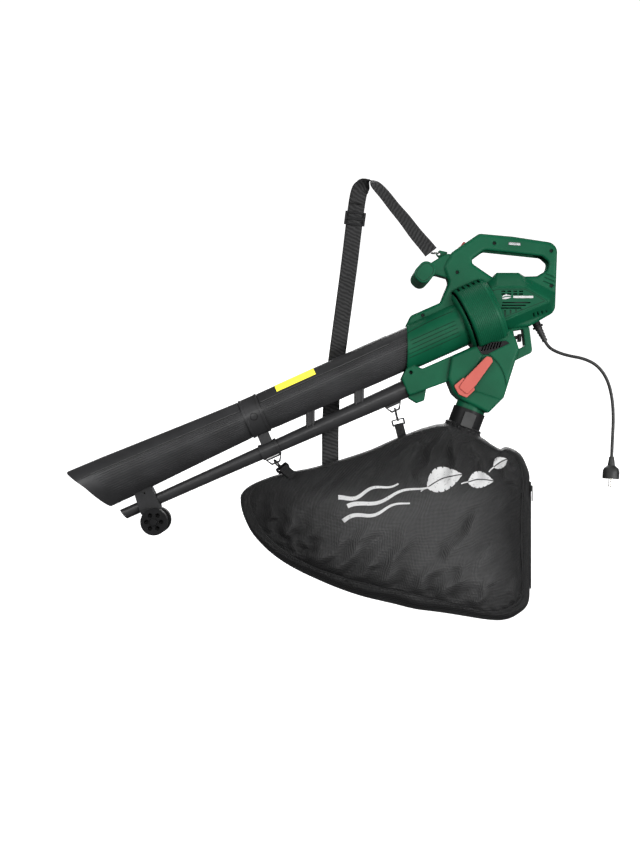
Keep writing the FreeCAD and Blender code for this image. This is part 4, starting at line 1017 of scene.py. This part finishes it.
def brick(centre, sizes, turn=None):
    """Small block with bevelled upper edges: points and faces."""
    inset = 0.2
    turn = turn or Matrix.Identity(3)
    points = []
    for level, shrink in ((-0.5, 0), (0.5 - inset, 0), (0.5, inset)):
        for x, y in ((-0.5, -0.5), (0.5, -0.5), (0.5, 0.5), (-0.5, 0.5)):
            local = Vector((x * sizes[0] * (1 - shrink), y * sizes[1] * (1 - shrink),
                            level * sizes[2]))
            points.append(Vector(centre) + turn @ local)
    faces = lattice(3, 4, wrap=True) + [(3, 2, 1, 0), (8, 9, 10, 11)]
    return points, faces


TOOTH_PITCH = 0.0022


def zip_teeth(finish):
    """Two rows of coil teeth down the zip tape at the back of the bag."""
    low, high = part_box("bag_zip")
    parts = []
    count = int((high.z - low.z - 0.008) / TOOTH_PITCH)
    for n in range(count):
        for side in (-1, 1):
            z = low.z + 0.004 + TOOTH_PITCH * (n + (0.5 if side > 0 else 0))
            parts.append(brick((high.x + 0.0001, side * 0.0012, z), (0.0008, 0.0030, 0.0014)))
    piece("zip_teeth", *joined(parts), finish, "zip_black")


# Radius of the ring on the tube collar, and of the dark sleeve inside the fan drum that paints its
# shade
RING_R = 0.0075
SHADE_SLEEVE_R = 0.0738


def outline(corners, half_width=0.0005):
    """Thin closed line through (x, z) corners."""
    path = []
    for here, after in zip(corners, corners[1:] + corners[:1]):
        path += [Vector(here).lerp(Vector(after), n / 12) for n in range(12)]
    return ribbon(path + path[:1], lambda t: half_width, 1)


def oval(centre, half_long, half_short, turn):
    """Corners of a rounded outline turned in the middle plane."""
    corners = []
    for n in range(40):
        angle = 2 * math.pi * n / 40
        x = half_long * math.copysign(abs(math.cos(angle)) ** 0.75, math.cos(angle))
        z = half_short * math.copysign(abs(math.sin(angle)) ** 0.75, math.sin(angle))
        corners.append((centre[0] + x * math.cos(turn) - z * math.sin(turn),
                        centre[1] + x * math.sin(turn) + z * math.cos(turn)))
    return corners


def side_lines(finish, collar_finish):
    """Grooves of the grip caps and motor panels, drawn as thin strips in painted groove shade, and
    the ring moulded on the tube collar.
    """
    panel = [(-0.055, -0.1075), (-0.041, -0.1035), (0.018, -0.1035), (0.062, -0.1290),
             (-0.036, -0.1680)]
    bars = [[(x, -0.1455), (x, -0.1455 - length)] for x, length in
            ((-0.026, 0.016), (-0.014, 0.0115), (-0.002, 0.0070), (0.010, 0.0035))]
    for side, word in ((-1, "left"), (1, "right")):
        cap = outline(oval((-0.203, -0.066), 0.0195, 0.0150, math.radians(48)))
        piece(f"grip_cap_line_{word}", *laid_on([cap], NODES["front_grip_caps"], 0.0002, side),
              finish, "green_plastic")
        parts = [outline(panel)]
        for start, end in bars:
            path = [Vector(start).lerp(Vector(end), n / 4) for n in range(5)]
            parts.append(ribbon(path, lambda t: 0.0016, 1))
        target = NODES[f"motor_vent_{word}"]
        piece(f"motor_panel_lines_{word}", *laid_on(parts, target, 0.0002, side), finish,
              "green_plastic")
    middle = machine(-0.6865, TUBE_W - 0.002)
    ring = outline(oval((middle.x, middle.z), RING_R, RING_R, 0), 0.0007)
    piece("collar_ring", *laid_on([ring], NODES["tube_collars"], 0.0003), collar_finish,
          "tube_black")


def ledge_lines(finish):
    """Pale strips along both sides of each tube's top facet: a painted highlight on the facet's
    edges.
    """
    parts = []
    for name, u_from, u_to in (("lower", -1.110, -0.712), ("upper", -0.660, -0.348)):
        for flank in (1, -1):
            rib = lengthwise_rib(u_from, u_to, math.radians(flank * 59.3),
                                 [f"{name}_suction_tube"], 0.0008, 0.0005)
            if rib:
                parts.append(rib)
    piece("tube_ledge_lines", *joined(parts), finish, "tube_black")


def drum_shade_sleeve(finish):
    """Dark sleeve inside the fan drum: painted shade seen through its slots."""
    points = []
    for u in (-0.166, -0.150, -0.130, -0.110):
        for turn in range(96):
            angle = 2 * math.pi * turn / 96
            out = machine(0, 1) * math.cos(angle) + Vector((0, 1, 0)) * math.sin(angle)
            points.append(machine(u, TUBE_W) + out * SHADE_SLEEVE_R)
    # Painted shade: a black sleeve where the inside of the drum is only dark
    piece("drum_shade_sleeve", points, lattice(4, 96, wrap=True), finish, "black_plastic")


def side_marks(finish, plate_finish):
    """Blank plate on the grip, and a small leaf with a plain bar on the near motor panel."""
    turn = Matrix.Rotation(math.radians(90), 3, "X") @ Matrix.Rotation(math.radians(-3), 3, "Z")
    plate_y = NODES["housing_left"].ray_cast(Vector((0.0, -0.4, 0.0015)), Vector((0, 1, 0)))[1].y
    piece("grip_badge", *brick((0.0, plate_y - 0.0003, 0.0015), (0.027, 0.0065, 0.0009), turn),
          plate_finish, "grey_plastic")
    line = [Vector((-0.008 + 0.044 * n / 20, -0.1205)) for n in range(21)]
    parts = leaf((-0.033, -0.1225), (1, 0.12), 0.021, 0.0085)[:2]
    parts.append(ribbon(line, lambda t: 0.0026, 2))
    piece("panel_print", *laid_on(parts, NODES["motor_vent_left"], 0.0003), finish, "grey_plastic")


def vent_backs(finish):
    """Dark plates behind the slots of the motor panels: painted shade seen through the slots."""
    parts = []
    for name, side in (("motor_vent_left", -1), ("motor_vent_right", 1)):
        low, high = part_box(name)
        inner = low.y if side > 0 else high.y
        middle = (low + high) / 2
        # Painted shade: a black plate just inside each panel
        parts.append(brick((middle.x - 0.004, inner - side * 0.0008, middle.z + 0.008),
                           (0.070, 0.0010, 0.034)))
    piece("vent_shade_plates", *joined(parts), finish, "black_plastic")


def main():
    """Sets the scene, gives every CAD part its finish and adds the other pieces."""
    camera()
    studio()
    finish = finishes()
    for part in frame["record"]["subparts"]:
        for place in NODES[part["node"]].material_slots:
            place.material = finish[part["material_slot"]]
    mains_cord(finish["cord_rubber"])
    bag, edge = bag_shell(finish["bag_nylon"])
    cuff(bag, finish["bag_nylon"])
    bag_seams(edge, finish["webbing"], finish["black_plastic"])
    white = print_white()
    bag_print(bag, white)
    zip_teeth(finish["zip_black"])
    tube_ribs(finish["tube_black"])
    # Painted shade: a dark green for thin strips that stand for the shadowed grooves and slots of
    # the housing
    groove_shade_green = plastic("groove_shade_green", (0.002, 0.035, 0.016, 1), (0.001, 0.025, 0.012, 1),
                         (0.001, 0.012, 0.006, 1), 0.5, 1500)
    duct_lines(groove_shade_green, finish["panel_green"])
    side_lines(groove_shade_green, finish["black_plastic"])
    # Painted highlight: a pale black for the strips along the tubes' facet edges
    ledge_lines(plastic("painted_highlight_black", (0.085, 0.085, 0.087, 1), (0.055, 0.055, 0.056, 1),
                        (0.010, 0.010, 0.010, 1), 0.4, 1100, 0.32))
    strap(finish["webbing"], finish["black_plastic"])
    vent_backs(finish["black_plastic"])
    drum_shade_sleeve(finish["black_plastic"])
    side_marks(white, finish["cast_alloy"])


main()
